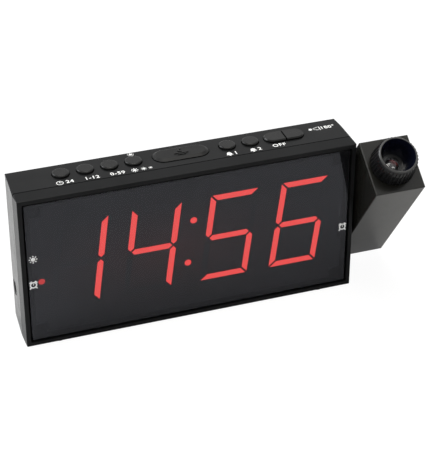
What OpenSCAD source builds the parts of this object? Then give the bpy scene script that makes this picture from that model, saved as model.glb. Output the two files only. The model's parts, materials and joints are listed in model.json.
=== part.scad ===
// Projection alarm clock: a slim LED clock with a projector arm on a hollow pivot.
// The front looks along -Y, +X is to the viewer's right and the feet stand on z = 0.

/* [Case] */
// Width of the front face
face_w = 162; // [150:1:190]
// Height of the front face
face_h = 78.6; // [77:0.1:90]
// Depth of the case
case_d = 27.7; // [27:0.1:34]
// Depth of the front frame, from the front face to the seam
frame_d = 7.2; // [6.8:0.1:8.4]
// Wall of the shells
wall = 2; // [1.6:0.1:2.2]
// How far each side swells from the front face to the seam
side_swell = 0.4; // [0.2:0.1:0.5]
// How far each side draws in from the seam to the rear face
rear_draft = 1.1; // [0.4:0.1:1.3]
// How far the top drops from the seam to the rear face
top_draft = 0.4; // [0:0.1:0.6]
// How much higher the rear shell's underside starts at the seam
seam_step = 0.5; // [0.3:0.1:0.8]
// Rise of the rear shell's underside from the seam to the rear face
base_rise = 1.3; // [0.5:0.1:1.6]
// Corner radius of the case seen from the front
corner_r = 1.4; // [0.8:0.1:2]
// Rounding along the edges of the front face
front_edge_r = 0.5; // [0.3:0.1:0.8]
// Rounding along the edges of the rear face
rear_edge_r = 1.6; // [0.8:0.1:1.9]
// Width of the shadow groove behind the seam
groove_w = 0.5; // [0.3:0.1:0.8]
// Depth of the shadow groove
groove_deep = 0.45; // [0.3:0.05:0.7]

/* [Window] */
// Width of the frame's front rim
rim_w = 2; // [1.6:0.1:2.6]
// Gap between the rim and the window
window_gap = 0.8; // [0.5:0.1:1.1]
// Thickness of the window
window_t = 2; // [1.5:0.1:2.2]
// How far the window lies behind the front face
window_recess = 0.7; // [0.4:0.1:1]
// Width of the ledge that carries the window
ledge_w = 2.4; // [1.8:0.1:3]
// Thickness of the ledge
ledge_t = 1.5; // [1.2:0.1:1.8]
// Corner radius of the window
window_r = 1; // [0.6:0.1:2]

/* [Display] */
// Overall height of a digit
digit_h = 45.7; // [38:0.1:48]
// Width of a digit between the middles of its upright bars
digit_w = 20.8; // [17:0.1:22]
// Width of a bar
bar_w = 2.8; // [2.4:0.1:3.2]
// Gap between the mitred ends of two bars
bar_gap = 0.9; // [0.5:0.1:1.2]
// Lean of the digits in degrees
digit_lean = 7.5; // [0:0.1:10]
// Pitch of the two digits next to the colon
colon_pitch = 37.8; // [34:0.1:40]
// Distance of the outer digits' middles from the sides of the face
digit_in = 27.2; // [26:0.1:30]
// Height of the digits' middle bars above the case's underside
digit_mid_z = 40.2; // [38:0.1:44]
// Diameter of a colon dot
colon_d = 3.3; // [2.5:0.1:4]
// Height of a colon dot over the middle bars
colon_rise = 11.4; // [8:0.1:14]
// Diameter of an indicator dot
indicator_d = 3.1; // [2:0.1:3.4]
// Distance of the indicator dots from the sides of the face
indicator_in = 9.3; // [8.5:0.1:10]
// Height of the alarm dots below the middle bars
alarm_dot_drop = 6.8; // [4:0.1:12]
// Height of the summer-time dot over the middle bars
dst_dot_rise = 6.9; // [4:0.1:14]
// Depth of the mask
mask_t = 6; // [4.5:0.1:7]
// Length of a diffuser bar, front to back
diffuser_t = 3.6; // [2:0.1:4]
// Thickness of the circuit boards
board_t = 1.6; // [1:0.1:2]
// Side of an LED chip
led_side = 1.6; // [1:0.1:2]
// Height of an LED chip
led_h = 0.8; // [0.5:0.1:1.2]

/* [Keys] */
// Diameter of a round key
key_d = 7.9; // [7:0.1:8.6]
// Gap around a key
key_gap = 0.3; // [0.2:0.05:0.45]
// How far a key stands above the top of the case
key_proud = 1.2; // [0.9:0.1:1.8]
// Travel of a key
key_travel = 0.8; // [0.4:0.05:0.85]
// Pitch of neighbouring round keys
key_pitch = 11.4; // [11:0.1:12.2]
// Distance of the first round key on each side from the middle of the row
key_first = 22.7; // [22.2:0.1:24]
// Offset of the row's middle from the middle of the case
key_row_x = 0.4; // [-1:0.1:1]
// Distance of the row of keys from the front face
key_row_back = 17.7; // [17.4:0.1:18.2]
// Length of the snooze key
snooze_l = 26.8; // [22:0.1:28]
// Width of the snooze key
snooze_w = 10.8; // [9:0.1:11.2]
// Width of the sloping border round the snooze key
snooze_slope = 1.5; // [0.8:0.1:2.2]
// Distance of the split key's middle from the middle of the row
pair_x = 50.8; // [50.2:0.1:53]
// Length of the split key
pair_l = 19.6; // [18:0.1:20]
// Width of the split key
pair_w = 8.6; // [7.6:0.1:9.2]
// Slit between the two halves of the split key
pair_slit = 0.7; // [0.5:0.1:1.2]
// Thickness of a key's flange
flange_t = 0.8; // [0.6:0.05:0.9]
// How far a key's flange reaches past its hole
flange_reach = 0.6; // [0.5:0.05:0.75]
// Side of a switch body
switch_side = 6; // [5:0.1:7]
// Height of a switch body
switch_h = 3.5; // [2.5:0.1:4]
// Height of a switch plunger
plunger_h = 0.8; // [0.5:0.1:1]
// Diameter of a switch plunger and of the post over it
plunger_d = 3.4; // [2.5:0.1:4]
// Length of a key's post
post_l = 1.2; // [0.8:0.1:1.8]

/* [Arm] */
// Width of the arm
arm_w = 25; // [24:0.1:28]
// Gap between the front face's edge and the arm
arm_gap = 1.2; // [1.15:0.05:2]
// Depth of the arm
arm_d = 27.7; // [27:0.1:30]
// Length of the arm from the pivot to the lens end
arm_up = 42.5; // [41.5:0.1:50]
// Length of the arm from the pivot to the lower end
arm_down = 31.4; // [31:0.1:32]
// Forward lean of the arm as shown, in degrees
arm_lean = 35.2; // [0:0.1:55]
// Height of the pivot above the case's underside
pivot_z = 36.1; // [35.6:0.1:44]
// Wall of the arm
arm_wall = 1.8; // [1.5:0.1:2]
// Rounding of the arm's edges
arm_edge_r = 0.6; // [0.3:0.1:1.2]
// Width of the groove at the arm's seam
arm_seam_w = 0.4; // [0.2:0.05:0.6]
// Depth of the groove at the arm's seam
arm_seam_deep = 0.3; // [0.2:0.05:0.5]

/* [Pivot] */
// Diameter of the pivot shaft
shaft_d = 10; // [9:0.1:10.6]
// Bore of the pivot shaft
shaft_bore = 5; // [4:0.1:5.6]
// Running clearance of a shaft in its hole, on the radius
run_gap = 0.05; // [0.02:0.01:0.09]
// Wall of the pivot bush
bush_wall = 1; // [0.8:0.1:1.4]
// Thickness of the bush's outer flange
bush_flange_t = 0.6; // [0.4:0.05:0.7]
// Width of the bush's outer flange
bush_flange_w = 2; // [1.5:0.1:2.4]
// Depth of the hub behind the bush
hub_l = 3.4; // [3.2:0.1:3.6]
// Thickness of the disc spring
spring_t = 0.4; // [0.3:0.05:0.5]
// Height of the disc spring
spring_h = 1.4; // [1.2:0.05:1.6]
// Thickness of the retaining clip
clip_t = 0.9; // [0.7:0.1:1.1]
// Depth of the clip's groove
clip_deep = 0.8; // [0.6:0.05:1]
// Thickness of the shaft's clamped flange
shaft_flange_t = 1.6; // [1.4:0.1:2.2]
// Width of the shaft's clamped flange
shaft_flange_w = 2.6; // [2:0.1:3]

/* [Focus] */
// Diameter of the focus ring at its base
ring_base_d = 22; // [20:0.1:23]
// Diameter of the focus ring at its rim
ring_rim_d = 17.8; // [17:0.1:19]
// Width of the bevel between the ribs and the rim
ring_bevel = 0.5; // [0.2:0.1:0.7]
// How far the focus ring stands out of the arm
ring_h = 10.6; // [9:0.1:12]
// Width of the rim around the funnel
rim_t = 0.5; // [0.4:0.1:0.9]
// Depth of the funnel
funnel_deep = 9.7; // [8:0.1:10.2]
// Number of ribs on the focus ring
rib_n = 36; // [24:1:44]
// Height of a rib
rib_h = 0.5; // [0.3:0.05:0.6]
// Width of a rib at its foot
rib_w = 0.9; // [0.6:0.05:1.1]
// Diameter of the lens barrel
barrel_d = 10; // [9:0.1:10.6]
// Wall of the lens barrel
barrel_wall = 0.8; // [0.6:0.1:1]
// Length of the lens barrel
barrel_l = 17; // [16.4:0.1:18]
// Travel of the lens each way from the middle
lens_travel = 1.5; // [0.5:0.1:1.8]
// Thickness of the projection lens at its edge
lens_edge_t = 2; // [1.5:0.1:2.5]
// Crown of the projection lens
lens_crown = 0.9; // [0.6:0.1:1.2]
// Thickness of the guide plate
guide_t = 2.5; // [2:0.1:3]

/* [Projector] */
// Side of the optics tube
tube_side = 12; // [11.6:0.1:12.4]
// Length of the optics tube
tube_l = 20; // [18:0.1:21]
// Bore of the optics tube
tube_bore = 8.6; // [7:0.1:9]
// Diameter of the condenser lens
condenser_d = 10.4; // [9.6:0.1:10.8]
// Thickness of the condenser lens
condenser_t = 3; // [2.6:0.1:3.2]
// Side of the small display that is projected
lcd_side = 10.4; // [10:0.1:10.8]
// Thickness of the small display
lcd_t = 1.4; // [1:0.1:1.8]
// Width of the projector lamp
lamp_d = 5; // [4:0.1:5.4]
// Height of the projector lamp
lamp_h = 7; // [6:0.1:7.6]
// Diameter of the leads through the pivot
lead_d = 1.2; // [1:0.1:1.8]

/* [Power] */
// Bore of the power socket
socket_d = 5.6; // [5:0.1:6]
// Diameter of the power socket's pin
socket_pin_d = 2; // [1.3:0.1:2.5]
// Depth of the power socket
socket_deep = 9.5; // [8:0.1:10]
// Diameter of the power socket's nose
nose_d = 7.6; // [7.2:0.1:8]
// Height of the power socket above the case's underside
socket_z = 20.3; // [18:0.1:24]
// Distance of the power socket from the rear face
socket_in = 6.7; // [6.6:0.1:7.4]
// Diameter of the coin cell
cell_d = 20; // [16:0.1:20.2]
// Thickness of the coin cell
cell_t = 3.2; // [2.5:0.1:3.4]
// Diameter of the battery door
door_d = 24; // [23.6:0.1:25]
// Turn that unlocks the battery door, in degrees
door_turn = 45; // [40:1:60]
// Distance of the battery door from the middle of the case
door_x = 38; // [34:0.1:44]
// Height of the battery door above the case's underside
door_z = 32; // [28:0.1:40]
// Diameter of the buzzer
buzzer_d = 12; // [9:0.1:14]
// Height of the buzzer
buzzer_h = 6.5; // [5:0.1:7]
// Distance of the buzzer from the middle of the case
buzzer_x = 14; // [8:0.1:22]
// Diameter of a sound hole
sound_d = 1.6; // [1:0.1:2]

/* [Fasteners] */
// Distance of the case screws from the sides, top and underside
post_in = 7.4; // [7:0.1:8]
// Diameter of the screw posts
post_d = 6.4; // [5.8:0.1:6.8]
// Diameter of the screws' shanks
screw_d = 2.4; // [2:0.1:2.6]
// Diameter of the screws' heads
head_d = 4.4; // [3.8:0.1:4.8]
// Height of the screws' heads
head_h = 1.6; // [1.2:0.1:2]
// How far the case screws' heads sit below the rear face
head_sunk = 13; // [10:0.1:13.4]
// Diameter of a foot
foot_d = 5.4; // [4:0.1:6]
// How far the feet stand below the case
foot_proud = 0.6; // [0.4:0.1:1.5]
// How far the feet are let into the case
foot_sunk = 0.8; // [0.5:0.1:1]
// Distance of the feet from the sides
foot_in = 16; // [10:1:30]

/* [Hidden] */

$fn = 64;
bite = 1;       // how far a cutter reaches past the face it cuts
seat = 0.1;     // gap of a piece that is laid into a pocket
fit = 0.2;      // gap between pieces that are fitted by hand

// Case planes
front_y = -case_d / 2;
seam_y = front_y + frame_d;
back_y = case_d / 2;
base_z = foot_proud;
top_z = base_z + face_h;
mid_z = base_z + face_h / 2;
seam_half = face_w / 2 + side_swell;
rear_half = seam_half - rear_draft;

// Planes in the front frame, counted back from the front face
window_y = front_y + window_recess;
ledge_y = window_y + window_t;
mask_y = ledge_y + fit;
board_y = mask_y + mask_t;
board_back = board_y + board_t;
window_half = [face_w / 2 - rim_w - window_gap, face_h / 2 - rim_w - window_gap];
opening_half = [window_half.x - ledge_w, window_half.y - ledge_w];

// The tongue that the front frame pushes into the rear shell
tongue_t = 1.2;
tongue_l = 2;
tongue_in = wall + seat;
pocket_in = tongue_in + tongue_t;

// Board and screw posts
board_half = [face_w / 2 - 4, face_h / 2 - 4.3];
post_half = [face_w / 2 - post_in, face_h / 2 - post_in];
post_r = post_d / 2;
screw_r = screw_d / 2;
screw_hole_r = screw_r + seat / 2;
head_r = head_d / 2;

// Keys
row_y = front_y + key_row_back;
key_r = key_d / 2;
hole_r = key_r + key_gap;
flange_back = row_y + snooze_w / 2 + key_gap + flange_reach;
flange_top = top_at(flange_back) - wall - run_gap;
flange_grow = 2 * (key_gap + flange_reach);
flange_base = flange_top - flange_t;
post_base = flange_base - post_l;
key_board_top = post_base - key_travel - seat - plunger_h - switch_h;
key_board_base = key_board_top - board_t;
key_board_y = [board_back + 3 * fit, back_y - wall - 3 * fit];
key_board_half = post_half.x - post_r - 1.4;
left_keys = [for (i = [3:-1:0]) key_row_x - key_first - i * key_pitch];
right_keys = [for (i = [0:1]) key_row_x + key_first + i * key_pitch];
pair_mid = key_row_x + pair_x;
half_key_x = pair_l / 4;
pair_xs = [pair_mid - half_key_x, pair_mid + half_key_x];
switch_xs = concat(left_keys, right_keys, [key_row_x], pair_xs);

// Arm and pivot
arm_x = face_w / 2 + arm_gap;
arm_mid = arm_x + arm_w / 2;
shaft_r = shaft_d / 2;
hub_x = seam_half;
hub_in = hub_x - hub_l;
hub_r = shaft_r + run_gap + bush_wall + bush_flange_w + 0.5;
spring_x = hub_in - run_gap - spring_h;
clip_x = spring_x - run_gap - clip_t;
shaft_end = clip_x - 1;
notch_x = shaft_end - 2 * fit;
clip_r = shaft_r - clip_deep;
shaft_flange_x = arm_x + arm_wall + run_gap;
shaft_flange_r = shaft_r + shaft_flange_w;
shaft_stop = shaft_flange_x + shaft_flange_t;

// Optics, in the arm's own frame with the pivot at its origin
tube_top = 12;
tube_base = tube_top - tube_l;
lamp_z = tube_base - lamp_h - 3;
guide_z = 28;
lug_half = 1;
lug_reach = 1.4;
ring_foot = 0.3;
neck_r = 7.3;
neck_lip_r = 8.8;
neck_lip_t = 1.2;
barrel_r = barrel_d / 2;
funnel_base = arm_up + ring_h - funnel_deep;
barrel_top = funnel_base - fit;
barrel_in = barrel_r - barrel_wall;
lens_seat = barrel_top - 0.7 - lens_crown;
ring_foot_r = ring_base_d / 2 - rib_h;
ring_top_r = ring_rim_d / 2 + ring_bevel;
ring_shoulder = ring_h - 0.7;
rib_lean = atan((ring_foot_r - ring_top_r) / (ring_shoulder - ring_foot));
rib_tip_r = ring_top_r + rib_h * cos(rib_lean);
rib_tip_z = arm_up + ring_shoulder + rib_h * sin(rib_lean);
lead_r = lead_d / 2;
lead_bend = 1.4;
lead_x = (shaft_stop + arm_mid - tube_side / 2) / 2;

// The origin is under the middle of the whole clock, from the ring's ribs to the arm's lower edge
whole_front = -rib_tip_z * sin(arm_lean) - rib_tip_r * cos(arm_lean);
whole_back = (arm_down - arm_edge_r) * sin(arm_lean) + (arm_d / 2 - arm_edge_r) * cos(arm_lean) + arm_edge_r;
whole_mid = [(arm_x + arm_w - seam_half) / 2, (whole_front + whole_back) / 2];

// Power, battery and sound
socket_y = back_y - socket_in;
jack_l = 13.4;
jack_w = 9;
jack_h = 11;
jack_x = -rear_half + wall + seat;
nose_x = -side_at(socket_y) + 0.3;
rear_in = back_y - wall;
door_r = door_d / 2;
tab_t = 1.2;
tab_r = door_r + 1.6;
tab_w = 5;
cup_r = cell_d / 2 + 0.3;
cup_wall = 1.4;
cup_floor = rear_in - 0.1 - tab_t - 0.3 - cell_t - 0.9;
cell_y = cup_floor + 0.5;
buzzer_z = base_z + door_z;

// Half width and height of the rear shell at a plane y behind the seam
function side_at(y) = seam_half - rear_draft * (y - seam_y) / (back_y - seam_y);
function top_at(y) = top_z + side_swell - top_draft * (y - seam_y) / (back_y - seam_y);

function unit(v) = v / norm(v);

// Moves a piece, drawn round the case's middle, so that the whole clock is centred on the origin
module centred() {
    translate([-whole_mid.x, -whole_mid.y, 0]) children();
}

// A flat outline with its corners rounded by the radii in the list
module rounded(points, radii) {
    n = len(points);
    difference() {
        polygon(points);
        for (i = [0:n - 1])
            if (radii[i] > 0)
                corner_bite(points[(i + n - 1) % n], points[i], points[(i + 1) % n], radii[i]);
    }
}

module corner_bite(before, corner, after, r) {
    to_before = unit(before - corner);
    to_after = unit(after - corner);
    half_angle = acos(to_before * to_after) / 2;
    inward = unit(to_before + to_after);
    middle = corner + inward * r / sin(half_angle);
    tangent = r / tan(half_angle);
    difference() {
        polygon([corner + to_before * tangent, corner - inward * r, corner + to_after * tangent, middle]);
        translate(middle) circle(r);
    }
}

module rounded_rect(half, r) {
    rounded([[-half.x, -half.y], [half.x, -half.y], [half.x, half.y], [-half.x, half.y]], [r, r, r, r]);
}

// Extrudes an outline in x and z from the plane y0 back to the plane y1
module along_y(y0, y1) {
    translate([0, y1, 0]) rotate([90, 0, 0]) linear_extrude(y1 - y0) children();
}

// Extrudes an outline in y and z from the plane x0 to the plane x1
module along_x(x0, x1) {
    translate([x0, 0, 0]) rotate([90, 0, 90]) linear_extrude(x1 - x0) children();
}

module face_plate(half, r, y0, y1) {
    along_y(y0, y1) translate([0, mid_z]) rounded_rect(half, r);
}

module rod_y(x, z, r, y0, y1) {
    translate([x, y1, z]) rotate([90, 0, 0]) cylinder(r = r, h = y1 - y0);
}

module rod_x(y, z, r, x0, x1) {
    translate([x0, y, z]) rotate([0, 90, 0]) cylinder(r = r, h = x1 - x0);
}

module box(low, high) {
    translate(low) cube(high - low);
}

// Solid outline of the case drawn in by a wall, cut between two planes y
module case_block(inset, y0, y1) {
    soft = max(corner_r - inset, 0.3);
    front_r = max(front_edge_r - inset, 0);
    rear_r = max(rear_edge_r - inset, 0.3);
    lead_y = seam_y - bite;
    intersection() {
        along_y(y0, y1)
            translate([0, mid_z + side_swell / 2])
                rounded_rect([seam_half - inset, (face_h + side_swell) / 2 - inset], soft);
        translate([0, 0, -bite])
            linear_extrude(top_z + 3 * bite)
                rounded([
                    [-face_w / 2 + inset, front_y + min(inset, 0.01)],
                    [face_w / 2 - inset, front_y + min(inset, 0.01)],
                    [seam_half - inset, seam_y], [rear_half - inset, back_y - inset],
                    [-rear_half + inset, back_y - inset], [-seam_half + inset, seam_y]
                ], [front_r, front_r, 0, rear_r, rear_r, 0]);
        along_x(-seam_half - bite, seam_half + bite)
            if (y0 < lead_y)
                rounded([
                    [front_y + min(inset, 0.01), base_z + inset], [back_y, base_z + inset],
                    [back_y, top_z + side_swell - inset], [seam_y, top_z + side_swell - inset],
                    [front_y + min(inset, 0.01), top_z - inset]
                ], [front_r, 0, 0, 0, front_r]);
            else
                rounded([
                    [lead_y, base_z + seam_step + inset], [seam_y, base_z + seam_step + inset],
                    [back_y - inset, base_z + seam_step + base_rise + inset],
                    [back_y - inset, top_z + side_swell - top_draft - inset],
                    [seam_y, top_z + side_swell - inset], [lead_y, top_z + side_swell - inset]
                ], [0, 0, rear_r, rear_r, 0, 0]);
    }
}

module at_corners(half) {
    for (sx = [-1, 1])
        for (sz = [-1, 1])
            translate([sx * half.x, 0, mid_z + sz * half.y]) children();
}

module at_feet(y) {
    for (sx = [-1, 1])
        translate([sx * (face_w / 2 - foot_in), y, 0]) children();
}

front_foot_y = front_y + frame_d / 2;
rear_foot_y = back_y - 5;
rear_foot_top = base_z + seam_step + base_rise + foot_sunk;

// Room for the hub, the shaft's end and its clip at the right-hand edge
module pivot_notch(x0, y0) {
    reach = hub_r + fit;
    box([x0, y0, base_z + pivot_z - reach], [seam_half + bite, back_y, base_z + pivot_z + reach]);
}

module front_frame() {
    color("#2b2b2a")
        difference() {
            union() {
                difference() {
                    case_block(0, front_y, seam_y);
                    face_plate(window_half + [window_gap, window_gap], window_r, front_y - bite, ledge_y);
                    face_plate(opening_half, window_r, front_y, seam_y + bite);
                    case_block(pocket_in, ledge_y + ledge_t, seam_y + bite);
                }
                difference() {
                    case_block(tongue_in, seam_y - 0.2, seam_y + tongue_l);
                    case_block(pocket_in, seam_y - bite, seam_y + tongue_l + bite);
                }
                at_corners(post_half) rod_y(0, 0, post_r, ledge_y, board_y);
            }
            pivot_notch(hub_in - bite, seam_y);
            at_corners(post_half) rod_y(0, 0, screw_hole_r, ledge_y + 1, board_y + bite);
            at_feet(front_foot_y) cylinder(d = foot_d + 2 * seat, h = base_z + foot_sunk);
        }
}

module display_window() {
    color("#1d1d20", 0.6) face_plate(window_half, window_r, window_y, ledge_y);
}

// One bar between two mitred corners or middle points, in a digit's own upright frame.
// A corner end is cut by one mitre, a middle end by two. s is half the bar's width and
// g the mitre's gap measured along the bar.
function upright_bar(x, side, z0, z1, s, g) = [
    [x, z0 + g], [x + side * s, z0 + g + s], [x + side * s, z1 + s - g], [x - side * s, z1 - s - g],
    [x - side * s, z0 + g + s]
];
function flat_bar(half, z, side, s, g) = [
    [-half - s + g, z + side * s], [-half + s + g, z - side * s],
    [half - s - g, z - side * s], [half + s - g, z + side * s]
];
function middle_bar(half, s, g) = [
    [-half + g, 0], [-half + s + g, -s], [half - s - g, -s], [half - g, 0], [half - s - g, s],
    [-half + s + g, s]
];
function mirror_z(points) = [for (p = points) [p.x, -p.y]];

// The seven bars of a digit, widened by a clearance
function digit_bars(clearance) =
    let (
        s = bar_w / 2 + clearance,
        g = max(bar_gap - 2 * clearance, 0.2) / sqrt(2),
        half = digit_w / 2,
        rise = (digit_h - bar_w) / 2
    ) [
        flat_bar(half, rise, 1, s, g),
        upright_bar(half, 1, 0, rise, s, g),
        mirror_z(upright_bar(half, 1, 0, rise, s, g)),
        mirror_z(flat_bar(half, rise, 1, s, g)),
        mirror_z(upright_bar(-half, -1, 0, rise, s, g)),
        upright_bar(-half, -1, 0, rise, s, g),
        middle_bar(half, s, g)
    ];

function leaned(points) = [for (p = points) [p.x + p.y * tan(digit_lean), p.y]];
outer_digit_x = face_w / 2 - digit_in;
digit_xs = [-outer_digit_x, -colon_pitch / 2, colon_pitch / 2, outer_digit_x];
indicator_x = face_w / 2 - indicator_in;
display_z = base_z + digit_mid_z;

module digit_shapes(index, clearance) {
    translate([digit_xs[index], display_z])
        for (bar = digit_bars(clearance)) polygon(leaned(bar));
}

module dot(x, z, d) {
    translate([x, z]) circle(d = d);
}

module colon_shapes(clearance) {
    for (s = [-1, 1])
        dot(s * colon_rise * tan(digit_lean), display_z + s * colon_rise, colon_d + 2 * clearance);
}

module indicator_shapes(clearance) {
    for (s = [-1, 1])
        dot(s * indicator_x, display_z - alarm_dot_drop, indicator_d + 2 * clearance);
    dot(-indicator_x, display_z + dst_dot_rise, indicator_d + 2 * clearance);
}

module segment_mask() {
    color("#141414")
        difference() {
            face_plate(opening_half - [0.3, 0.3], window_r, mask_y, board_y);
            at_corners(post_half) {
                reach = post_r + 0.4;
                box([-reach, mask_y - bite, -reach], [reach, board_y + bite, reach]);
            }
            pivot_notch(notch_x, mask_y - bite);
            along_y(mask_y - bite, board_y + bite) {
                for (i = [0:3]) digit_shapes(i, seat / 2);
                colon_shapes(seat / 2);
                indicator_shapes(seat / 2);
            }
        }
}

module digit(index) {
    color("#e8403c") along_y(mask_y, mask_y + diffuser_t) digit_shapes(index, 0);
}

module colon_dots() {
    color("#e8403c") along_y(mask_y, mask_y + diffuser_t) colon_shapes(0);
}

module indicator_dots() {
    color("#e8403c") along_y(mask_y, mask_y + diffuser_t) indicator_shapes(0);
}

module led_chip(x, z) {
    box([x - led_side / 2, board_y - led_h, z - led_side / 2], [x + led_side / 2, board_y, z + led_side / 2]);
}

// Two chips behind each bar, a quarter of its length either side of its middle
module display_leds() {
    half = digit_w / 2;
    rise = (digit_h - bar_w) / 2;
    bar_mids = [
        [0, rise, 1, 0], [0, 0, 1, 0], [0, -rise, 1, 0],
        [half, rise / 2, 0, 1], [half, -rise / 2, 0, 1], [-half, rise / 2, 0, 1], [-half, -rise / 2, 0, 1]
    ];
    color("#f0e8c8") {
        for (x = digit_xs)
            for (bar = bar_mids)
                for (s = [-1, 1]) {
                    u = bar[0] + s * bar[2] * digit_w / 5;
                    v = bar[1] + s * bar[3] * rise / 5;
                    led_chip(x + u + v * tan(digit_lean), display_z + v);
                }
        for (s = [-1, 1]) {
            led_chip(s * colon_rise * tan(digit_lean), display_z + s * colon_rise);
            led_chip(s * indicator_x, display_z - alarm_dot_drop);
        }
        led_chip(-indicator_x, display_z + dst_dot_rise);
    }
}

module display_board() {
    color("#2f5a34")
        difference() {
            face_plate(board_half, window_r, board_y, board_back);
            at_corners(post_half) rod_y(0, 0, screw_hole_r, board_y - bite, board_back + bite);
            pivot_notch(notch_x, board_y - bite);
        }
}

chip_half = [9, 3.8];
chip_t = 2.2;
chip_x = -12;
chip_z = mid_z + 6;
leg_n = 14;
leg_pitch = 1.27;

module clock_chip() {
    color("#1a1a1c")
        along_y(board_back + 0.1, board_back + chip_t)
            translate([chip_x, chip_z]) rounded_rect(chip_half, 0.2);
    color("silver")
        for (i = [0:leg_n - 1])
            for (s = [-1, 1])
                translate([chip_x + (i - (leg_n - 1) / 2) * leg_pitch, 0, chip_z + s * (chip_half.y + 0.6)])
                    box([-0.2, board_back, -0.7], [0.2, board_back + 0.9, 0.7]);
}

// Outline of the snooze key or the split key: a slot shape along x
module pill(length, width) {
    r = width / 2;
    union() {
        square([length - width, width], center = true);
        for (s = [-1, 1]) translate([s * (length / 2 - r), 0]) circle(r);
    }
}

module key_holes() {
    for (x = concat(left_keys, right_keys)) translate([x, row_y]) circle(hole_r);
    translate([key_row_x, row_y]) pill(snooze_l + 2 * key_gap, snooze_w + 2 * key_gap);
    translate([pair_mid, row_y]) pill(pair_l + 2 * key_gap, pair_w + 2 * key_gap);
}

// The key board's screws sit behind the row, between the snooze key and its neighbours
key_screw_out = (snooze_l / 2 + key_first - key_r) / 2;
key_screw_y = row_y + 5;
key_post_r = 2.3;
screw_bite = 4;
board_stop_x = key_board_half - 4;

module rear_shell() {
    door_mid = [-door_x, base_z + door_z];
    color("#2b2b2a")
        difference() {
            union() {
                difference() {
                    case_block(0, seam_y, back_y);
                    case_block(wall, seam_y - bite, back_y - wall);
                }
                intersection() {
                    rod_x(0, base_z + pivot_z, hub_r, hub_in, hub_x);
                    box([hub_in, seam_y, base_z], [hub_x, back_y, top_z]);
                }
                intersection() {
                    case_block(wall / 2, seam_y, back_y);
                    union() {
                        at_corners(post_half) rod_y(0, 0, post_r, board_back, back_y);
                        rod_y(door_mid.x, door_mid.y, tab_r + fit + cup_wall, rear_in - tab_t - 0.4, back_y);
                        rod_y(door_mid.x, door_mid.y, cup_r + cup_wall, cup_floor - 1.2, back_y);
                        rod_y(buzzer_x, buzzer_z, buzzer_d / 2 + seat + 1.2, rear_in - 3.5, back_y);
                        for (s = [-1, 1]) {
                            translate([key_row_x + s * key_screw_out, key_screw_y, key_board_top])
                                cylinder(r = key_post_r, h = top_z - key_board_top);
                            translate([s * board_stop_x, key_board_y[1] - 3, key_board_base - seat])
                                box([-1, 0, -3], [1, back_y - key_board_y[1] + 3, 0]);
                        }
                        for (s = [-1, 1])
                            translate([jack_x, socket_y, base_z + socket_z + s * (jack_h / 2 + seat + 0.6)])
                                box([0, -jack_w / 2, -0.6], [jack_l, jack_w, 0.6]);
                    }
                }
            }
            // shadow groove behind the seam
            difference() {
                translate([-seam_half - bite, seam_y - bite, -bite])
                    cube([2 * seam_half + 2 * bite, groove_w + bite, top_z + 3 * bite]);
                case_block(groove_deep, seam_y, back_y);
            }
            translate([0, 0, flange_top - wall]) linear_extrude(2 * wall + 3) key_holes();
            rod_x(0, base_z + pivot_z, shaft_r + run_gap + bush_wall + run_gap, hub_in - bite, hub_x + bite);
            rod_x(socket_y, base_z + socket_z, nose_d / 2 + seat, -seam_half - bite, jack_x + bite);
            // battery door: round hole, two slots for the tabs, room to turn them, and the cell's cup
            rod_y(door_mid.x, door_mid.y, door_r, rear_in - bite, back_y + bite);
            rod_y(door_mid.x, door_mid.y, tab_r + fit, rear_in - tab_t - 0.3, rear_in);
            rod_y(door_mid.x, door_mid.y, cup_r, cup_floor, rear_in);
            translate([door_mid.x, 0, door_mid.y]) rotate([0, door_turn, 0]) tab_bar(fit, back_y + bite);
            for (s = [-1, 1])
                rod_y(door_mid.x + 4 * s, door_mid.y, 0.7, cup_floor - 1.2 - bite, cup_floor + bite);
            // sound holes and the buzzer's seat
            rod_y(buzzer_x, buzzer_z, buzzer_d / 2 + seat, rear_in - 3.5 - bite, rear_in);
            for (i = [0:6])
                at_sound_hole(i) rod_y(0, 0, sound_d / 2, rear_in - bite, back_y + bite);
            // screws
            at_corners(post_half) {
                rod_y(0, 0, screw_hole_r, board_back - bite, back_y);
                rod_y(0, 0, head_r + fit, back_y - head_sunk, back_y + bite);
            }
            for (s = [-1, 1])
                translate([key_row_x + s * key_screw_out, key_screw_y, key_board_top - bite])
                    cylinder(r = screw_hole_r, h = screw_bite + 2 * bite);
            at_feet(rear_foot_y) cylinder(d = foot_d + 2 * seat, h = rear_foot_top);
        }
}

module at_sound_hole(i) {
    angle = i * 60;
    spread = i == 6 ? 0 : buzzer_d / 4 + 0.4;
    translate([buzzer_x + spread * cos(angle), 0, buzzer_z + spread * sin(angle)]) children();
}

module tab_bar(gap, y1) {
    intersection() {
        box([-tab_r - gap, rear_in - 0.1 - tab_t, -tab_w / 2 - gap], [tab_r + gap, y1, tab_w / 2 + gap]);
        rod_y(0, 0, tab_r + gap, 0, back_y + 2 * bite);
    }
}

module key_board() {
    color("#2f5a34")
        difference() {
            box([-key_board_half, key_board_y[0], key_board_base],
                [key_board_half, key_board_y[1], key_board_top]);
            for (s = [-1, 1])
                translate([key_row_x + s * key_screw_out, key_screw_y, key_board_base - bite])
                    cylinder(r = screw_hole_r, h = board_t + 2 * bite);
        }
}

module tact_switches() {
    for (x = switch_xs)
        translate([x, row_y, key_board_top]) {
            color("#202022")
                translate([-switch_side / 2, -switch_side / 2, 0]) cube([switch_side, switch_side, switch_h]);
            color("#c9c4b4") translate([0, 0, switch_h]) cylinder(d = plunger_d, h = plunger_h);
        }
}

ribbon_t = 0.3;
ribbon_half = 9;
ribbon_bend = 2.4;
ribbon_lap = 8;

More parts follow.
